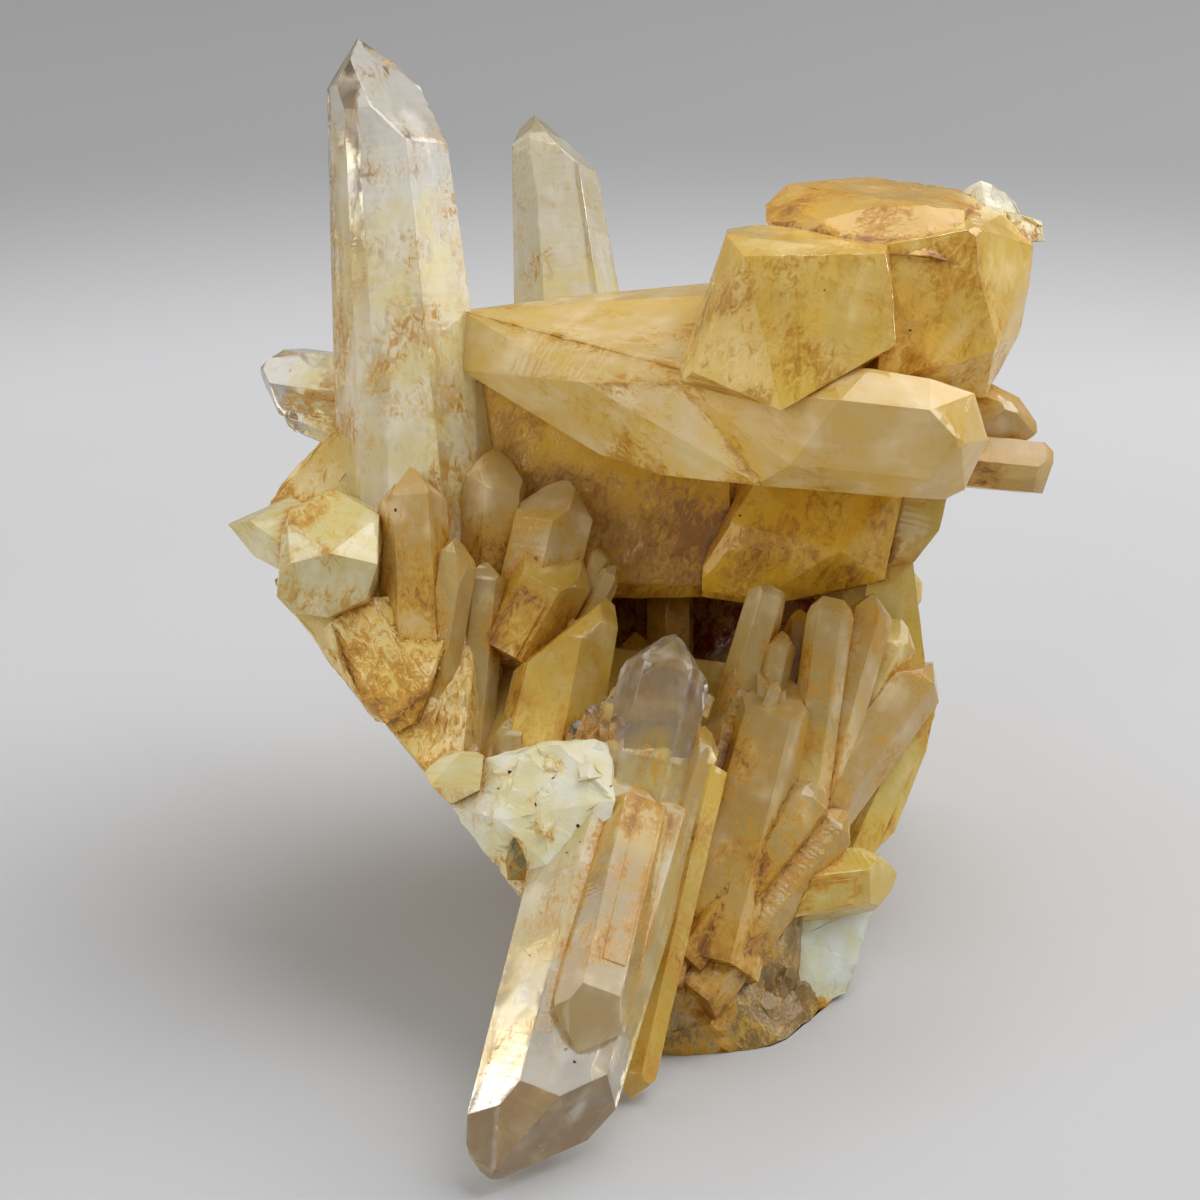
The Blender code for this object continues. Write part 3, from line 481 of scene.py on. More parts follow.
def left_group():
    """The cream and brownish crystals at the left edge, down to the stained slab."""
    block("left_shoulder", SHELL, (-33.2, 9.5, -6), (-31.6, 12.2, -8), (-30, 13.8, -9),
          (-27.5, 15.7, -10), (-25, 19, -11), (-21, 18, -10), (-22, 4, -4), (-31, 6, -4),
          (-27, 12, -16), (-20, 14, -18), (-20, 4, -16), (-29, 6, -12))
    block("left_spike", CREAM, (-37.3, 7.6, -2), (-35.1, 8, 1), (-31.7, 9.3, -2), (-31, 10.4, -6),
          (-36.1, 5.9, -1), (-34.6, 4.3, 0), (-32.1, 3, 3), (-31, 5, 6), (-28, 6, -8), (-26, 8, 2),
          (-28, 3, 2), toward=(-0.9, 0.2, 0.1))
    block("left_cream", CREAM, (-32, 3.4, 9), (-27, 4.7, 11), (-22.2, 3.6, 9.5), (-31.8, 8.7, 3),
          (-27, 11.3, 0), (-22.1, 8.5, 3), (-32.4, 0.3, 6), (-30.9, -1.3, 5), (-27.3, -1.8, 6.5),
          (-23.3, 0.1, 8.5), (-23.2, 2.6, 9.5), (-30, 9, -9), (-21, 9, -9), (-30, 1, -6),
          (-22, -2, -6), toward=(0, 0.2, 1))
    crystal("left_brown", (-17.8, -8, 6), (-19, 13.4, 0), 6.6, TAN, tip_width=6, minor=0.05)
    crystal("left_lit", (-17.2, -12, 8), (-14.4, 6.4, 3), 4, GLASSY, face=40, shift=0.3)
    block("left_slab", SHELL, (-27, -2.2, 6), (-23, 0.4, 5), (-17, 0.8, 5), (-14.8, -1, 5),
          (-15.5, -5, 9), (-17.5, -10, 12.5), (-18.5, -12.5, 13.5), (-20.5, -13.3, 13.5),
          (-23.8, -10, 11), (-26, -5.5, 8), (-29, -3.5, 1), (-18, 0, -8), (-16, -11, 1),
          (-23.4, -11.4, 6), toward=(-0.5, 0.8, -0.2))


def plate():
    """The broken plate that carries the left side, seen nearly edge on."""
    block("plate_left", SHELL, (-32.5, 2, 0), (-31.5, -0.4, 2), (-26.5, -6, 4), (-22, -12.4, 8),
          (-19.6, -13.9, 12), (-17.4, -17, 14), (-14.6, -20.8, 13), (-10, -17, 12), (-14, 0, 3),
          (-22, 6, 0), (-9, 0, -4), (-28, 6, -12), (-20, 8, -20), (-10, 10, -22), (-6, -14, -12),
          (-12, -16, 0))
    block("plate_floor", HONEY, (-14, -17, 8), (-9, -15, 10), (4, -13, 8), (8, -9, 0), (26, -8, -6),
          (29, -8, -18), (4, -7.5, -22), (-8, -5, -20), (-12, -3, -6), (-6, -27, 6), (24, -26, -2),
          (26, -24, -20), (0, -24, -18), (16, -14, 4))
    block("front_stub", CREAM, (-17.6, -17.2, 17), (-15.5, -14.8, 16), (-13.3, -14.6, 17),
          (-11.6, -15.5, 18), (-12, -19, 20.5), (-15, -20.5, 19.5), (-17, -18.6, 18.5),
          (-14, -16, 6), (-11, -16, 6), (-12, -20, 8), toward=(-0.5, 0.6, 0.6))
    block("front_white", WHITE, (-11.4, -15.9, 17), (-7.9, -15, 18), (-4.7, -13.9, 18),
          (-2.1, -14.2, 18), (1, -14, 17), (1.5, -20, 23), (0, -26, 24), (-5, -27, 24),
          (-10, -22, 22), (-9, -28.5, 20), (-7.7, -30.2, 20), (-12.2, -22.8, 19),
          (-14.9, -20.7, 18), (-13, -16.5, 4), (2, -15, 3), (4, -28, 4), (-6.5, -31, 10))
    lump("front_white_1", (-8.6, -17.6, 17.6), (2.6, 1.9, 2), 61, WHITE)
    lump("front_white_2", (-4.6, -17, 18.2), (2.4, 2.2, 2.2), 62, WHITE)
    lump("front_white_3", (-1, -18.6, 20), (2.2, 3, 2.6), 63, WHITE)
    lump("front_white_4", (-5.4, -22, 21.6), (2.8, 3, 2.4), 64, WHITE)
    lump("front_white_5", (-10.6, -20.6, 18.8), (1.8, 2, 1.8), 66, WHITE)
    lump("front_grey", (-7.6, -25.6, 21.4), (2.2, 3.6, 2.2), 65, GREENISH)
    lump("front_grey_low", (-6.2, -29.4, 20.2), (1.6, 2.2, 2), 67, GREENISH)
    block("front_yellow", LEMON, (0, -15.4, 14), (4.6, -17.5, 14), (9.4, -17, 12.5),
          (9.6, -20, 14.5), (6.8, -27, 20.5), (0, -28, 23), (2, -16, 6), (12, -16, 5), (8, -28, 6),
          toward=(0.3, 1, -0.4))


def front_points():
    """The big clear crystals that slope down to the table in front."""
    crystal("front_big", (2.2, -22, 15), (-11, -58, 42.6), 15, CLOUDY, tip_width=12.4, face=160,
            shift=0.5, minor=0.06, thick=0.8, ledges=3)
    crystal("front_inner", (3.4, -22, 19.5), (-2.2, -45.4, 39), 7.6, SMOKY, tip_width=6.8, face=100,
            shift=0.2)
    crystal("front_thin", (10.6, -17, 12), (3.1, -50, 25.4), 4, HONEY, tip_width=3.6, face=70)


def lower_right():
    """The streaked crystals at the lower right, steep ones and diagonal ones, and pale blocks."""
    crystal("streak_left", (6.4, -39, 18), (13.4, -11, 5), 4.2, STREAKED, face=80)
    crystal("streak_broad", (10.5, -37, 14), (18.6, -7.4, 3), 9.6, STREAKED, tip_width=8, face=100,
            shift=0.2, ledges=4)
    crystal("diagonal_1", (8, -36.4, 16.5), (22.4, -17.8, 7.5), 5.2, STREAKED, face=80, minor=0.05)
    crystal("diagonal_2", (9, -40, 16.5), (24.7, -21, 6.5), 5.8, STREAKED, tip_width=4.2, face=100)
    block("lower_face", MATRIX, (6.4, -40, 18.6), (10.5, -37.6, 17.4), (15, -34, 14.6),
          (20.6, -30.4, 10.6), (19, -38, 10.4), (17.5, -40.5, 11), (19.8, -41.4, 9.2),
          (16.6, -43.2, 12.4), (13, -43.8, 14.6), (8.5, -44.2, 16.6), (5.5, -44.2, 17.4),
          (12, -36, 4), (18, -38, 2), (6, -40, 8))
    crystal("right_diagonal", (15.5, -29, 8), (33.4, -6.1, -5), 7, TAN, tip_width=6.4, face=150,
            shift=0.3)
    crystal("right_between", (20, -22, 3), (30.2, -1.8, -4), 5, LEMON, face=100, shift=0.2)
    crystal("right_rim", (24, -27, 0), (32.3, -8.4, -7), 5, LEMON, tip_width=4.6, face=120)
    block("right_edge", LEMON, (33.2, -7.4, -8), (33.8, -10, -7), (33, -14, -6), (32.1, -17.5, -5),
          (30.8, -20.6, -4), (29.6, -24, -3), (27, -26, 0), (24, -20, 1), (27, -8, -4),
          (31, -9, -20), (29, -20, -18), (24, -24, -16), toward=(0.3, 0.9, -0.3))
    crystal("yellow_point", (15, -29.6, 10), (29.8, -27.4, 4), 7, LEMON, tip_width=5.8, face=80,
            shift=0.2)
    block("blue_white", ICE, (20.6, -30.8, 8.5), (27.4, -30.4, 3.5), (26.7, -32.1, 4),
          (25.7, -35.7, 4), (24.7, -40, 5.8), (22.9, -40.5, 7), (18.9, -41.2, 8.5), (17.8, -39, 10),
          (19.4, -34, 10), (26, -30, -8), (24, -34, -5), (16, -32, 0), (16, -39.5, 7),
          toward=(0.4, 0.9, -0.1))


def base():
    """The broken matrix under everything: it ends in the flat face that the cluster rests on."""
    resting = [(4.8, -31), (8.5, -31.2), (14, -30.2), (16.5, -29.4), (18.2, -27.8), (19.8, -23.7),
               (23.5, -19), (26.5, -2), (24, 13), (10, 19), (-3, 12), (-5, -2), (-2, -18)]
    upper = [(5.4, -43, 17.5), (10, -42, 17), (15.5, -42.5, 14.5), (19.5, -40.5, 10), (13, -36, 15),
             (5, -36, 17), (25, -28, 0), (27, -18, -8), (24, -8, -22), (10, -6, -27), (0, -8, -22),
             (-8, -16, -8), (-6, -26, 6), (-2, -28, 14)]
    hull("base", [Vector((x, y, 0)) for x, y in resting] + [place(*spot) for spot in upper], MATRIX)
    lump("base_left", (2, -21, -9), (8.5, 7, 9), 21, MATRIX)
    lump("base_back", (14, -20, -22), (14, 8, 8), 24, MATRIX, corners=22)
    lump("base_right", (22.4, -18.6, -12.5), (6.5, 9, 9), 29, MATRIX)


def far_side():
    """The crystals and broken lumps of the back and the underside."""
    lump("back_lump_1", (2, 10, -26), (11, 11, 9), 3, AMBER)
    lump("back_lump_2", (20, 8, -26), (12, 13, 8), 5, SHELL)
    lump("back_lump_3", (12, -12, -26), (14, 11, 10), 8, SHELL)
    lump("back_lump_4", (-16, 4, -16), (9, 8, 9), 13, SHELL)
    crystal("back_up_1", (12, 14, -24), (16.5, 31, -40), 8, WATER, face=200, shift=0.3)
    crystal("back_up_2", (20, 10, -24), (28, 24, -37), 7, GLASSY, face=240)
    crystal("back_out_1", (4, 6, -26), (1.5, 10, -48), 8.4, WATER, face=30, shift=0.4)
    crystal("back_out_2", (14, 4, -26), (17, 4, -45), 6.6, GLASSY, face=80)
    crystal("back_out_3", (22, -2, -24), (28.5, -6, -40), 7.4, HONEY, face=130, shift=0.3)
    crystal("back_low_1", (8, -10, -26), (6, -13, -46), 7.6, HONEY, face=20)
    crystal("back_low_2", (17, -12, -26), (20.5, -16.5, -42), 5.8, GLASSY, face=60, shift=0.2)
    crystal("back_low_3", (-3, -2, -20), (-9.5, 0.5, -36), 6, GLASSY, face=75)
    crystal("side_1", (24, 2, -10), (31, 0.4, -22), 6.2, HONEY, face=40)
    crystal("side_2", (25, -8, -9), (32, -9.6, -20), 6.4, LEMON, face=70, shift=0.3)
    crystal("side_3", (23, -16, -8), (30, -17, -19), 5.8, HONEY, face=20)
    crystal("side_4", (21, -22, -6), (27, -22.6, -16), 4.8, GLASSY, face=55)
    crystal("side_5", (26, 8, -12), (32.6, 8.6, -22), 5.6, GLASSY, face=35, shift=0.2)
    crystal("under_left_1", (-16, 2, -12), (-21.5, 3, -30), 7, GLASSY, face=110, shift=0.3)
    crystal("under_left_2", (-10, -6, -10), (-13, -7.5, -26), 6, HONEY, face=50)
    crystal("under_left_3", (-15, -6, -4), (-18.6, -7.2, -19), 5.2, HONEY, face=80)


def outer_shells(shape):
    """Delete the surfaces of spaces sealed inside the mesh, and flakes cut loose from it."""
    seen = set()
    spare = []
    for first in shape.faces:
        if first in seen:
            continue
        seen.add(first)
        shell = [first]
        for face in shell:
            for edge in face.edges:
                for other in edge.link_faces:
                    if other not in seen:
                        seen.add(other)
                        shell.append(other)
        volume = sum(face.calc_center_median().dot(face.normal) * face.calc_area()
                     for face in shell) / 3.0
        if volume < (SMALLEST_SHELL * MM) ** 3:
            spare.extend(shell)
    bmesh.ops.delete(shape, geom=spare, context="FACES")


def refine(shape):
    """Split the edges that are longer than the mesh should have, in a few passes."""
    for _ in range(REFINE_PASSES):
        long_edges = [edge for edge in shape.edges if edge.calc_length() > MESH_EDGE * MM]
        if not long_edges:
            break
        bmesh.ops.subdivide_edges(shape, edges=long_edges, cuts=1)
        bmesh.ops.triangulate(shape, faces=[face for face in shape.faces if len(face.verts) > 3],
                              quad_method="SHORT_EDGE")


def inner_corners(shape):
    """The points along the mesh's inner corners, ready to be searched."""
    spots = []
    for edge in shape.edges:
        if len(edge.link_faces) == 2:
            if edge.calc_face_angle_signed(0.0) < -radians(CREVICE_ANGLE):
                spots.append(0.5 * (edge.verts[0].co + edge.verts[1].co))
                spots.append(edge.verts[0].co.copy())
    tree = KDTree(max(len(spots), 1))
    for number, spot in enumerate(spots):
        tree.insert(spot, number)
    tree.balance()
    return tree


def weather(shape):
    """Roughen the broken surfaces, and store how near each point is to an inner corner."""
    habit = shape.loops.layers.float_color["habit"]
    crevice = shape.verts.layers.float.new("crevice")
    shape.normal_update()
    noise.seed_set(NOISE_SEED)
    corners = inner_corners(shape)
    moves = []
    for vert in shape.verts:
        gap = corners.find(vert.co)[2]
        vert[crevice] = 0.0 if gap is None else exp(-((gap / MM / CREVICE_REACH) ** 2))
        rough = sum(loop[habit][3] for loop in vert.link_loops) / max(len(vert.link_loops), 1)
        spot = vert.co / MM
        broad = abs(noise.noise(spot * BROAD_WAVES))
        warp = noise.noise_vector(spot * WARP_WAVES) * WARP_REACH
        grain = noise.cell(spot * GRAIN_CELLS + warp)
        swell = noise.noise(spot * SWELL_WAVES + SWELL_START)
        sink = rough * (BROAD_DEPTH * broad + GRAIN_DEPTH * grain) + SWELL_DEPTH * (1.0 + swell)
        moves.append(vert.co - vert.normal * sink * MM)
    for vert, spot in zip(shape.verts, moves):
        resting = vert.co.z < cad_low.z + REST_BAND * MM
        vert.co = spot
        vert.co.z = cad_low.z if resting else max(spot.z, cad_low.z + REST_GAP * MM)


def show(name, data):
    """A new object in the scene that shows this mesh, lamp or camera."""
    made = bpy.data.objects.new(name, data)
    scene.collection.objects.link(made)
    return made


def attach(piece):
    """Let the piece stand for the solid of the cluster."""
    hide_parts("quartz_cluster")
    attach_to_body(piece, "root")


def grow(name, material):
    """Join the region's solids into one closed piece, and finish its surface."""
    parts = bpy.data.collections.new(name)
    scene.collection.children.link(parts)
    body = solids[0]
    scene.collection.objects.link(body)
    for solid in solids[1:]:
        parts.objects.link(solid)
    union = body.modifiers.new("grown_together", "BOOLEAN")
    union.operation = "UNION"
    union.operand_type = "COLLECTION"
    union.collection = parts
    union.solver = "MANIFOLD"
    grown = body.evaluated_get(bpy.context.evaluated_depsgraph_get())
    mesh = bpy.data.meshes.new_from_object(grown)
    for solid in solids:
        bpy.data.objects.remove(solid)
    solids.clear()
    bpy.data.collections.remove(parts)

    shape = bmesh.new()
    shape.from_mesh(mesh)
    bmesh.ops.triangulate(shape, faces=shape.faces[:])
    outer_shells(shape)
    refine(shape)
    weather(shape)
    shape.to_mesh(mesh)
    shape.free()
    mesh.shade_smooth()
    mesh.set_sharp_from_angle(angle=radians(SHARP_ANGLE))
    mesh.materials.clear()
    mesh.materials.append(material)
    attach(show(name, mesh))


class Graph:
    """Short ways to add and link the nodes of a material or of the world."""

    def __init__(self, owner):
        owner.use_nodes = True
        self.owner = owner
        self.tree = owner.node_tree

    def node(self, kind, **settings):
        made = self.tree.nodes.new("ShaderNode" + kind)
        for key, value in settings.items():
            setattr(made, key, value)
        return made

    def feed(self, socket, value):
        """Link a socket, or set its value where a plain number or vector is given."""
        if isinstance(value, bpy.types.NodeSocket):
            self.tree.links.new(value, socket)
        else:
            socket.default_value = value

    def put(self, node, **values):
        """Feed the node's sockets by their names, with _ for the spaces in a name."""
        for key, value in values.items():
            self.feed(node.inputs[key.replace("_", " ")], value)

    def fill(self, node, *values):
        """Feed the node's first sockets with these values, and return what it gives."""
        for socket, value in zip(node.inputs, values):
            self.feed(socket, value)
        return node.outputs[0]

    def attribute(self, name, output):
        return self.node("Attribute", attribute_name=name).outputs[output]

    def where(self):
        """Where each point is, in metres from the middle of the flat underside."""
        return self.node("TexCoord").outputs["Object"]

    def math(self, operation, first, second, clamp):
        made = self.node("Math", operation=operation, use_clamp=clamp)
        return self.fill(made, first, second)

    def plus(self, first, second, clamp=False):
        return self.math("ADD", first, second, clamp)

    def minus(self, first, second):
        return self.math("SUBTRACT", first, second, False)

    def times(self, first, second, clamp=False):
        return self.math("MULTIPLY", first, second, clamp)

    def step(self, value, low, high):
        """0 below low and 1 above high, with a smooth rise between."""
        made = self.node("MapRange", interpolation_type="SMOOTHSTEP")
        return self.fill(made, value, low, high)

    def mix(self, share, first, second, blend="MIX"):
        """Two colours mixed, with this share of the second."""
        made = self.node("Mix", data_type="RGBA", blend_type=blend)
        self.feed(made.inputs[0], share)
        self.feed(made.inputs[6], first)
        self.feed(made.inputs[7], second)
        return made.outputs[2]

    def stretch(self, where, shares):
        """The places with each of their three parts multiplied by its share."""
        made = self.node("VectorMath", operation="MULTIPLY")
        return self.fill(made, where, shares)

    def noise(self, where, scale, detail, roughness=0.55, distortion=0.0):
        """Noise between 0 and 1, with scale in waves for each metre."""
        made = self.node("TexNoise")
        self.put(made, Vector=where, Scale=scale, Detail=detail, Roughness=roughness,
                 Distortion=distortion)
        return made.outputs["Fac"]


# The stains: their colour, the stain levels between which they come in, and how well they cover
Stain = namedtuple("Stain", "colour low high cover")
HAZE = Stain(linear(232, 184, 66), 0.54, 0.68, 0.6)
OCHRE = Stain(linear(190, 132, 20), 0.63, 0.70, 0.8)
RUST = Stain(linear(138, 84, 6), 0.70, 0.82, 0.75)
GRIME = Stain(linear(92, 52, 8), 0.97, 1.12, 0.8)
MILK = linear(240, 230, 198)
PALE = linear(252, 248, 238)
SPECK_TINT = linear(38, 30, 22)

# The patterns in the quartz: waves for each metre, and how far each is drawn out
CLOUD_WAVES = 190.0
WISP_WAVES = 620.0
WISP_STRETCH = (0.16, 1.0, 1.0)
CLOUD_SHARE = 0.75
PATCH_WAVES = 170.0
PATCH_SHARE = 0.45
FEATHER_WAVES = 1200.0
FEATHER_STRETCH = (0.6, 1.0, 1.0)
LINE_WAVES = 2000.0
LINE_STRETCH = (1.0, 0.07, 1.0)
PIT_WAVES = 3400.0

# How stained the surface is, by its look, its inner corners and the distance from its foot
STAIN_LIFT = 0.32
CREVICE_LIFT = 0.10
CREVICE_EDGE = (0.5, 1.0)
TIP_FALL = 0.06
TIP_RANGE = (0.1, 0.9)

# How clear it is: where along the crystal it clears, and what veils and stains take away
CLEARING_RANGE = (0.0, 0.32)
CLEARING_WANDER = 0.5
CLOUDY_CLEARNESS = 0.5  # share of the look's clearness left at the cloudy end
VEIL_CLOUDS = (0.50, 0.72)
STAIN_CLOUDS = 0.8
DEEP_VEIL = (0.40, 0.58)
DEEP_SHARE = 0.5
MILK_VEIL = (0.52, 0.74)
MILK_SHARE = 0.6
PALE_RANGE = (0.45, 1.0)

# Relief and gloss
LINE_RELIEF = 0.8
ROUGH_RELIEF = 1.6
STAIN_RELIEF = 0.4
PIT_RELIEF = 0.06
CLEAR_SMOOTHING = 0.7
RELIEF_STRENGTH = 0.5
RELIEF_DEPTH = 0.00009  # metres
GLASS_ROUGHNESS = 0.04
STAIN_ROUGHNESS = 0.30
BROKEN_ROUGHNESS = 0.42
VEIL_ROUGHNESS = 0.08
QUARTZ_IOR = 1.54


def quartz(name, absorb, density, milk, stain_bias=0.0):
    """Quartz that clears toward its ends, with milky veils, rusty stains and growth lines.

    absorb is the tint that thick quartz takes, density how fast it takes it per metre, milk how
    cloudy the body is, and stain_bias makes the whole piece more or less stained.
    """
    graph = Graph(bpy.data.materials.new(name))
    plus, minus, times, step = graph.plus, graph.minus, graph.times, graph.step
    where = graph.where()
    lie = graph.attribute("lie", "Vector")
    split = graph.node("SeparateXYZ")
    run = graph.fill(split, graph.attribute("along", "Vector"))
    habit = graph.node("SeparateColor")
    graph.fill(habit, graph.attribute("habit", "Color"))
    clear, start, stain = habit.outputs
    rough = graph.attribute("habit", "Alpha")
    crevice = graph.attribute("crevice", "Fac")

    # veils: soft clouds, and wisps that run along the crystal
    cloud = graph.noise(where, CLOUD_WAVES, detail=2.0, roughness=0.6)
    wisp = graph.noise(graph.stretch(lie, WISP_STRETCH), WISP_WAVES, detail=1.0)
    veil = plus(times(cloud, CLOUD_SHARE), times(wisp, 1.0 - CLOUD_SHARE))

    # stains: patches with feathered edges, thicker where grime gathers
    patch = graph.noise(where, PATCH_WAVES, detail=1.0)
    feather = graph.noise(graph.stretch(lie, FEATHER_STRETCH), FEATHER_WAVES, detail=3.0,
                          roughness=0.8, distortion=1.0)
    level = plus(times(patch, PATCH_SHARE), times(feather, 1.0 - PATCH_SHARE))
    lift = plus(times(stain, STAIN_LIFT), times(crevice, CREVICE_LIFT))
    lift = minus(lift, times(step(run, *TIP_RANGE), TIP_FALL))
    level = plus(level, plus(lift, stain_bias))
    hazy = step(level, HAZE.low, HAZE.high)
    soiled = step(level, OCHRE.low, OCHRE.high)
    heavy = step(level, RUST.low, RUST.high)
    grime = step(plus(feather, stain), GRIME.low, GRIME.high)
    grime = times(step(crevice, *CREVICE_EDGE), grime)

    # clearness: more toward the end, less where it is veiled or stained
    wander = times(minus(cloud, 0.5), CLEARING_WANDER)
    clearing = step(plus(minus(run, start), wander), *CLEARING_RANGE)
    left = plus(times(clearing, 1.0 - CLOUDY_CLEARNESS), CLOUDY_CLEARNESS)
    unveiled = minus(1.0, times(step(veil, *VEIL_CLOUDS), milk))
    unstained = minus(1.0, times(soiled, STAIN_CLOUDS))
    shown = times(times(clear, left), unveiled)
    shown = times(shown, unstained, clamp=True)

    # colour
    tint = graph.attribute("tint", "Color")
    deep = graph.mix(DEEP_SHARE, tint, (*absorb, 1.0), "MULTIPLY")
    body = graph.mix(step(veil, *DEEP_VEIL), deep, tint)
    milky = times(step(veil, *MILK_VEIL), MILK_SHARE * milk)
    body = graph.mix(milky, body, MILK)
    body = graph.mix(step(times(clearing, clear), *PALE_RANGE), body, PALE)
    for cover, dirt in ((hazy, HAZE), (soiled, OCHRE), (heavy, RUST), (grime, GRIME)):
        body = graph.mix(times(cover, dirt.cover), body, dirt.colour)

    # growth lines across each crystal, pits and broken grain
    lines = graph.noise(graph.stretch(lie, LINE_STRETCH), LINE_WAVES, detail=0.0)
    pits = graph.noise(where, PIT_WAVES, detail=0.0)
    coarse = plus(times(rough, ROUGH_RELIEF), times(stain, STAIN_RELIEF))
    pitted = times(pits, plus(coarse, PIT_RELIEF))
    relief = plus(times(lines, LINE_RELIEF), pitted)
    relief = times(relief, minus(1.0, times(clear, CLEAR_SMOOTHING)))
    bump = graph.node("Bump")
    graph.put(bump, Strength=RELIEF_STRENGTH, Distance=RELIEF_DEPTH, Height=relief)

    dull = plus(times(soiled, STAIN_ROUGHNESS), times(rough, BROKEN_ROUGHNESS))
    dull = plus(dull, times(veil, VEIL_ROUGHNESS))
    dull = plus(dull, GLASS_ROUGHNESS, clamp=True)

    graph.put(graph.tree.nodes["Principled BSDF"], Base_Color=body, Roughness=dull,
              Transmission_Weight=shown, IOR=QUARTZ_IOR, Normal=bump.outputs[0])
    if density:
        volume = graph.node("VolumeAbsorption")
        graph.put(volume, Color=(*absorb, 1.0), Density=density)
        graph.put(graph.tree.nodes["Material Output"], Volume=volume.outputs[0])
    return graph.owner


def plain(name, colour, roughness):
    """A plain material, and the graph that it is made with."""
    graph = Graph(bpy.data.materials.new(name))
    graph.put(graph.tree.nodes["Principled BSDF"], Base_Color=colour, Roughness=roughness)
    return graph


# The dark grains: where each is seen from the front, across and up, and their size
SPECK_SPOTS = [(-9, -17.2), (-4.7, -17.8), (-2.2, -22.6), (-2, -24.2), (-3.3, -25.3),
               (-6.4, -20.4), (-10.2, -18.9), (1.2, -18.6), (-7, -35.5), (-2.5, -46.2),
               (-3.4, -45), (14, 8.5), (22.5, 31), (31, 27), (-20.5, 9)]
SPECK_SIZES = (0.12, 0.26)
SPECK_CORNERS = 9
SPECK_SEED = 77
SPECK_FLATNESS = 0.5    # share by which a grain is pressed flat on the surface
SPECK_ROUGHNESS = 0.7


def dark_specks():
    """The grains of black dust and manganese that sit on the cluster's surface."""
    chance = random.Random(SPECK_SEED)
    eye = place(0.0, 0.0, VIEW_DISTANCE) * MM
    depsgraph = bpy.context.evaluated_depsgraph_get()
    grains = bmesh.new()
    for across, up in SPECK_SPOTS:
        way = (place(across, up, 0.0) * MM - eye).normalized()
        hit, spot, normal = scene.ray_cast(depsgraph, eye, way)[:3]
        if not hit:
            continue
        size = chance.uniform(*SPECK_SIZES) * MM
        grain = bmesh.new()
        for _ in range(SPECK_CORNERS):
            out = Vector([chance.gauss(0.0, 1.0) for _ in range(3)]).normalized()
            out -= normal * out.dot(normal) * SPECK_FLATNESS
            grain.verts.new(spot + out * size)
        bmesh.ops.convex_hull(grain, input=grain.verts[:])
        mesh = baked(grain, "grain")
        grains.from_mesh(mesh)
        bpy.data.meshes.remove(mesh)
    loose = [vert for vert in grains.verts if not vert.link_faces]
    bmesh.ops.delete(grains, geom=loose, context="VERTS")
    mesh = baked(grains, "dark_specks")
    mesh.materials.append(plain("dark_mineral", SPECK_TINT, SPECK_ROUGHNESS).owner)
    attach(show("dark_specks", mesh))


# The room, in metres and watts
FLOOR_SIZE = 3.0
FLOOR_DROP = 0.00002    # how far the paper lies below the cluster
# Further out the paper greys: painted shade that stands in for a grey backdrop cloth lying in shade
PALE_REACH = 0.17       # how far around the cluster the paper is pale
SHADE_REACH = 0.29       # from here on it is grey
PAPER_WAVES = 14.0
PAPER_DIM = (0.51, 0.51, 0.515, 1.0)
PAPER_PALE = (0.55, 0.55, 0.555, 1.0)
PAPER_SHADE_GREY = (0.30, 0.30, 0.302, 1.0)
PAPER_ROUGHNESS = 0.85
LAMPS = [("top_light", (0.32, 0.18, 0.56), 0.75, 4.7),
         ("right_light", (0.65, 0.10, 0.30), 0.30, 0.9),
         ("left_back_light", (-0.45, 0.25, 0.32), 0.45, 0.8),
         ("front_light", (-0.55, -0.60, 0.26), 0.90, 3.3)]
SKY_LOW = (0.72, 0.715, 0.71, 1.0)
SKY_HIGH = (0.95, 0.96, 1.0, 1.0)
SKY_RISE = (-0.1, 0.8)
SKY_STRENGTH = 0.31
FILM_WIDTH = 36.0       # millimetres
NEAREST_SEEN = 0.01


def floor():
    """A plain pale sheet under the cluster, which greys with the distance in painted shade."""
    sheet = bmesh.new()
    bmesh.ops.create_grid(sheet, x_segments=2, y_segments=2, size=FLOOR_SIZE * 0.5)
    mesh = baked(sheet, "paper")
    graph = plain("paper", PAPER_PALE, PAPER_ROUGHNESS)
    where = graph.where()
    away = graph.node("VectorMath", operation="LENGTH")
    graph.fill(away, where)
    shade = graph.mix(graph.noise(where, PAPER_WAVES, detail=3.0), PAPER_DIM, PAPER_PALE)
    # painted shade: the paper greys far out, standing in for the grey backdrop cloth in shade
    grey = graph.step(away.outputs["Value"], PALE_REACH, SHADE_REACH)
    paper_tint = graph.mix(grey, shade, PAPER_SHADE_GREY)
    graph.put(graph.tree.nodes["Principled BSDF"], Base_Color=paper_tint)
    mesh.materials.append(graph.owner)
    paper = show("paper", mesh)
    paper.location.z = -FLOOR_DROP


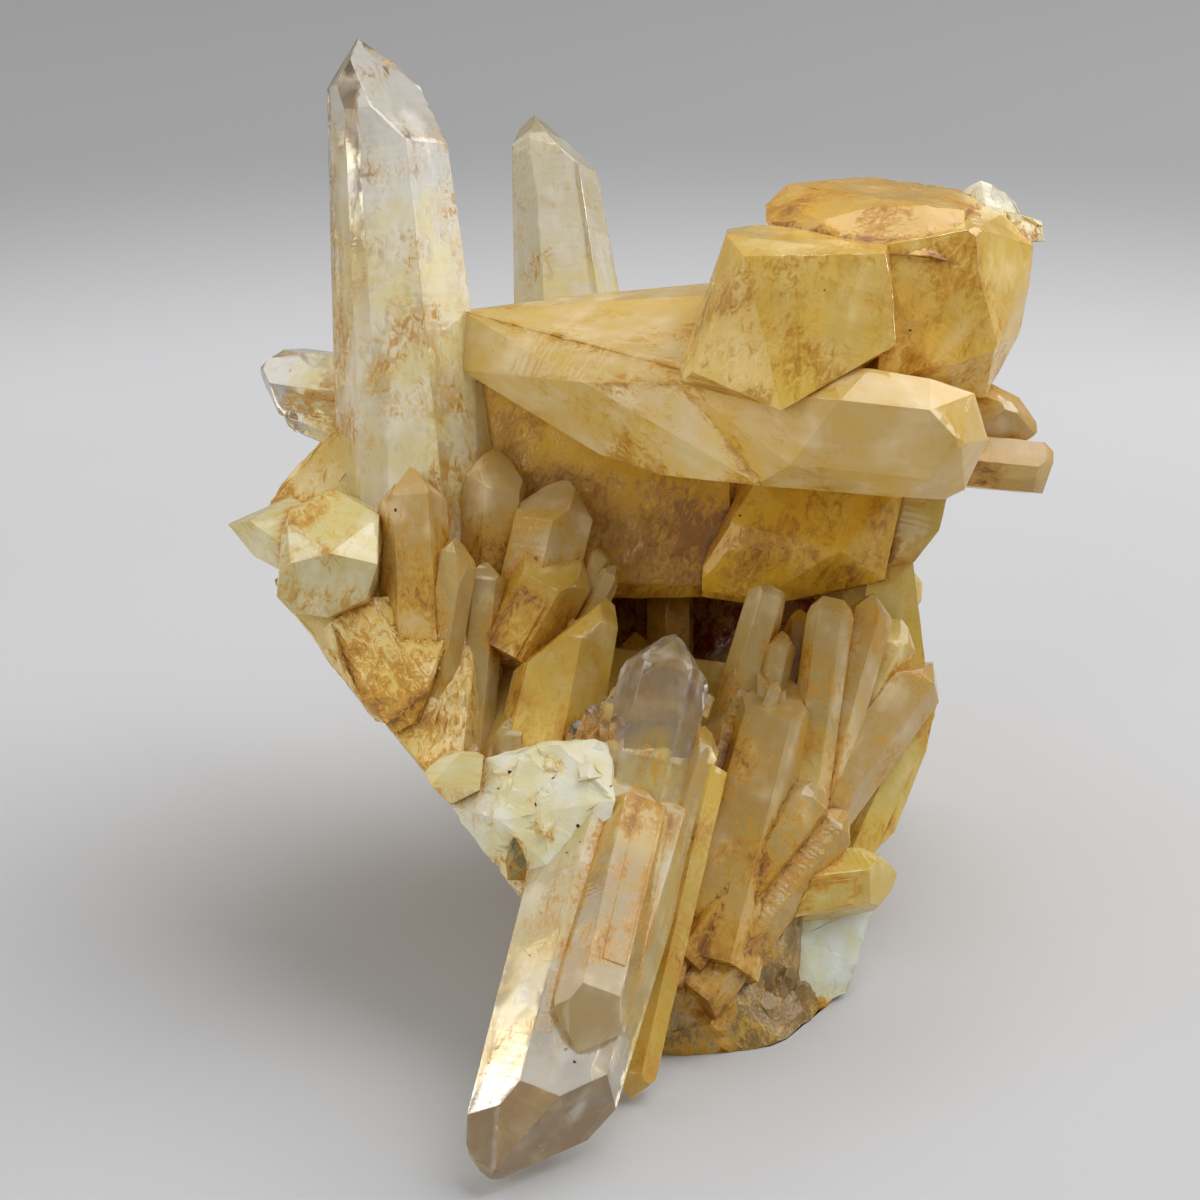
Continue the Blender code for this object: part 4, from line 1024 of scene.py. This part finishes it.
def view():
    """The camera, at the photo's viewing angle."""
    camera = bpy.data.cameras.new("camera")
    camera.sensor_width = FILM_WIDTH
    camera.lens = FILM_WIDTH * VIEW_DISTANCE / VIEW_WIDTH
    camera.clip_start = NEAREST_SEEN
    eye = show("camera", camera)
    eye.location = place(0.0, 0.0, VIEW_DISTANCE) * MM
    eye.rotation_euler = EYE_NEAR.to_track_quat("Z", "Y").to_euler()
    scene.camera = eye
    scene.view_settings.view_transform = "Standard"


def lamp(name, spot, size, power):
    """A soft square light that looks at the cluster's middle."""
    light = bpy.data.lights.new(name, "AREA")
    light.size = size
    light.energy = power
    stand = show(name, light)
    stand.location = spot
    aim = Vector(spot) - Vector((0.0, 0.0, MIDDLE_HEIGHT * MM))
    stand.rotation_euler = aim.to_track_quat("Z", "Y").to_euler()


def sky():
    """The soft light from all around, a little brighter and bluer from above."""
    graph = Graph(bpy.data.worlds.new("studio"))
    split = graph.node("SeparateXYZ")
    graph.fill(split, graph.node("TexCoord").outputs["Generated"])
    rise = graph.step(split.outputs[2], *SKY_RISE)
    graph.put(graph.tree.nodes["Background"], Color=graph.mix(rise, SKY_LOW, SKY_HIGH),
              Strength=SKY_STRENGTH)
    scene.world = graph.owner


clear_quartz = quartz("clear_quartz", (0.90, 0.78, 0.20), 8.0, milk=0.35)
honey_quartz = quartz("honey_quartz", (0.95, 0.81, 0.14), 0.0, milk=0.5)
amber_quartz = quartz("amber_quartz", (0.94, 0.79, 0.08), 0.0, milk=0.2, stain_bias=0.03)
pale_quartz = quartz("pale_quartz", (0.93, 0.82, 0.30), 0.0, milk=0.6, stain_bias=-0.01)

for region, material in ((tall_crystals, clear_quartz), (beam, honey_quartz),
                         (golden_blocks, honey_quartz), (right_stubs, honey_quartz),
                         (back_wall, amber_quartz), (pocket_crystals, honey_quartz),
                         (left_group, pale_quartz), (plate, pale_quartz),
                         (front_points, clear_quartz), (lower_right, pale_quartz),
                         (base, pale_quartz), (far_side, honey_quartz)):
    region()
    grow(region.__name__, material)
dark_specks()
floor()
view()
for settings in LAMPS:
    lamp(*settings)
sky()
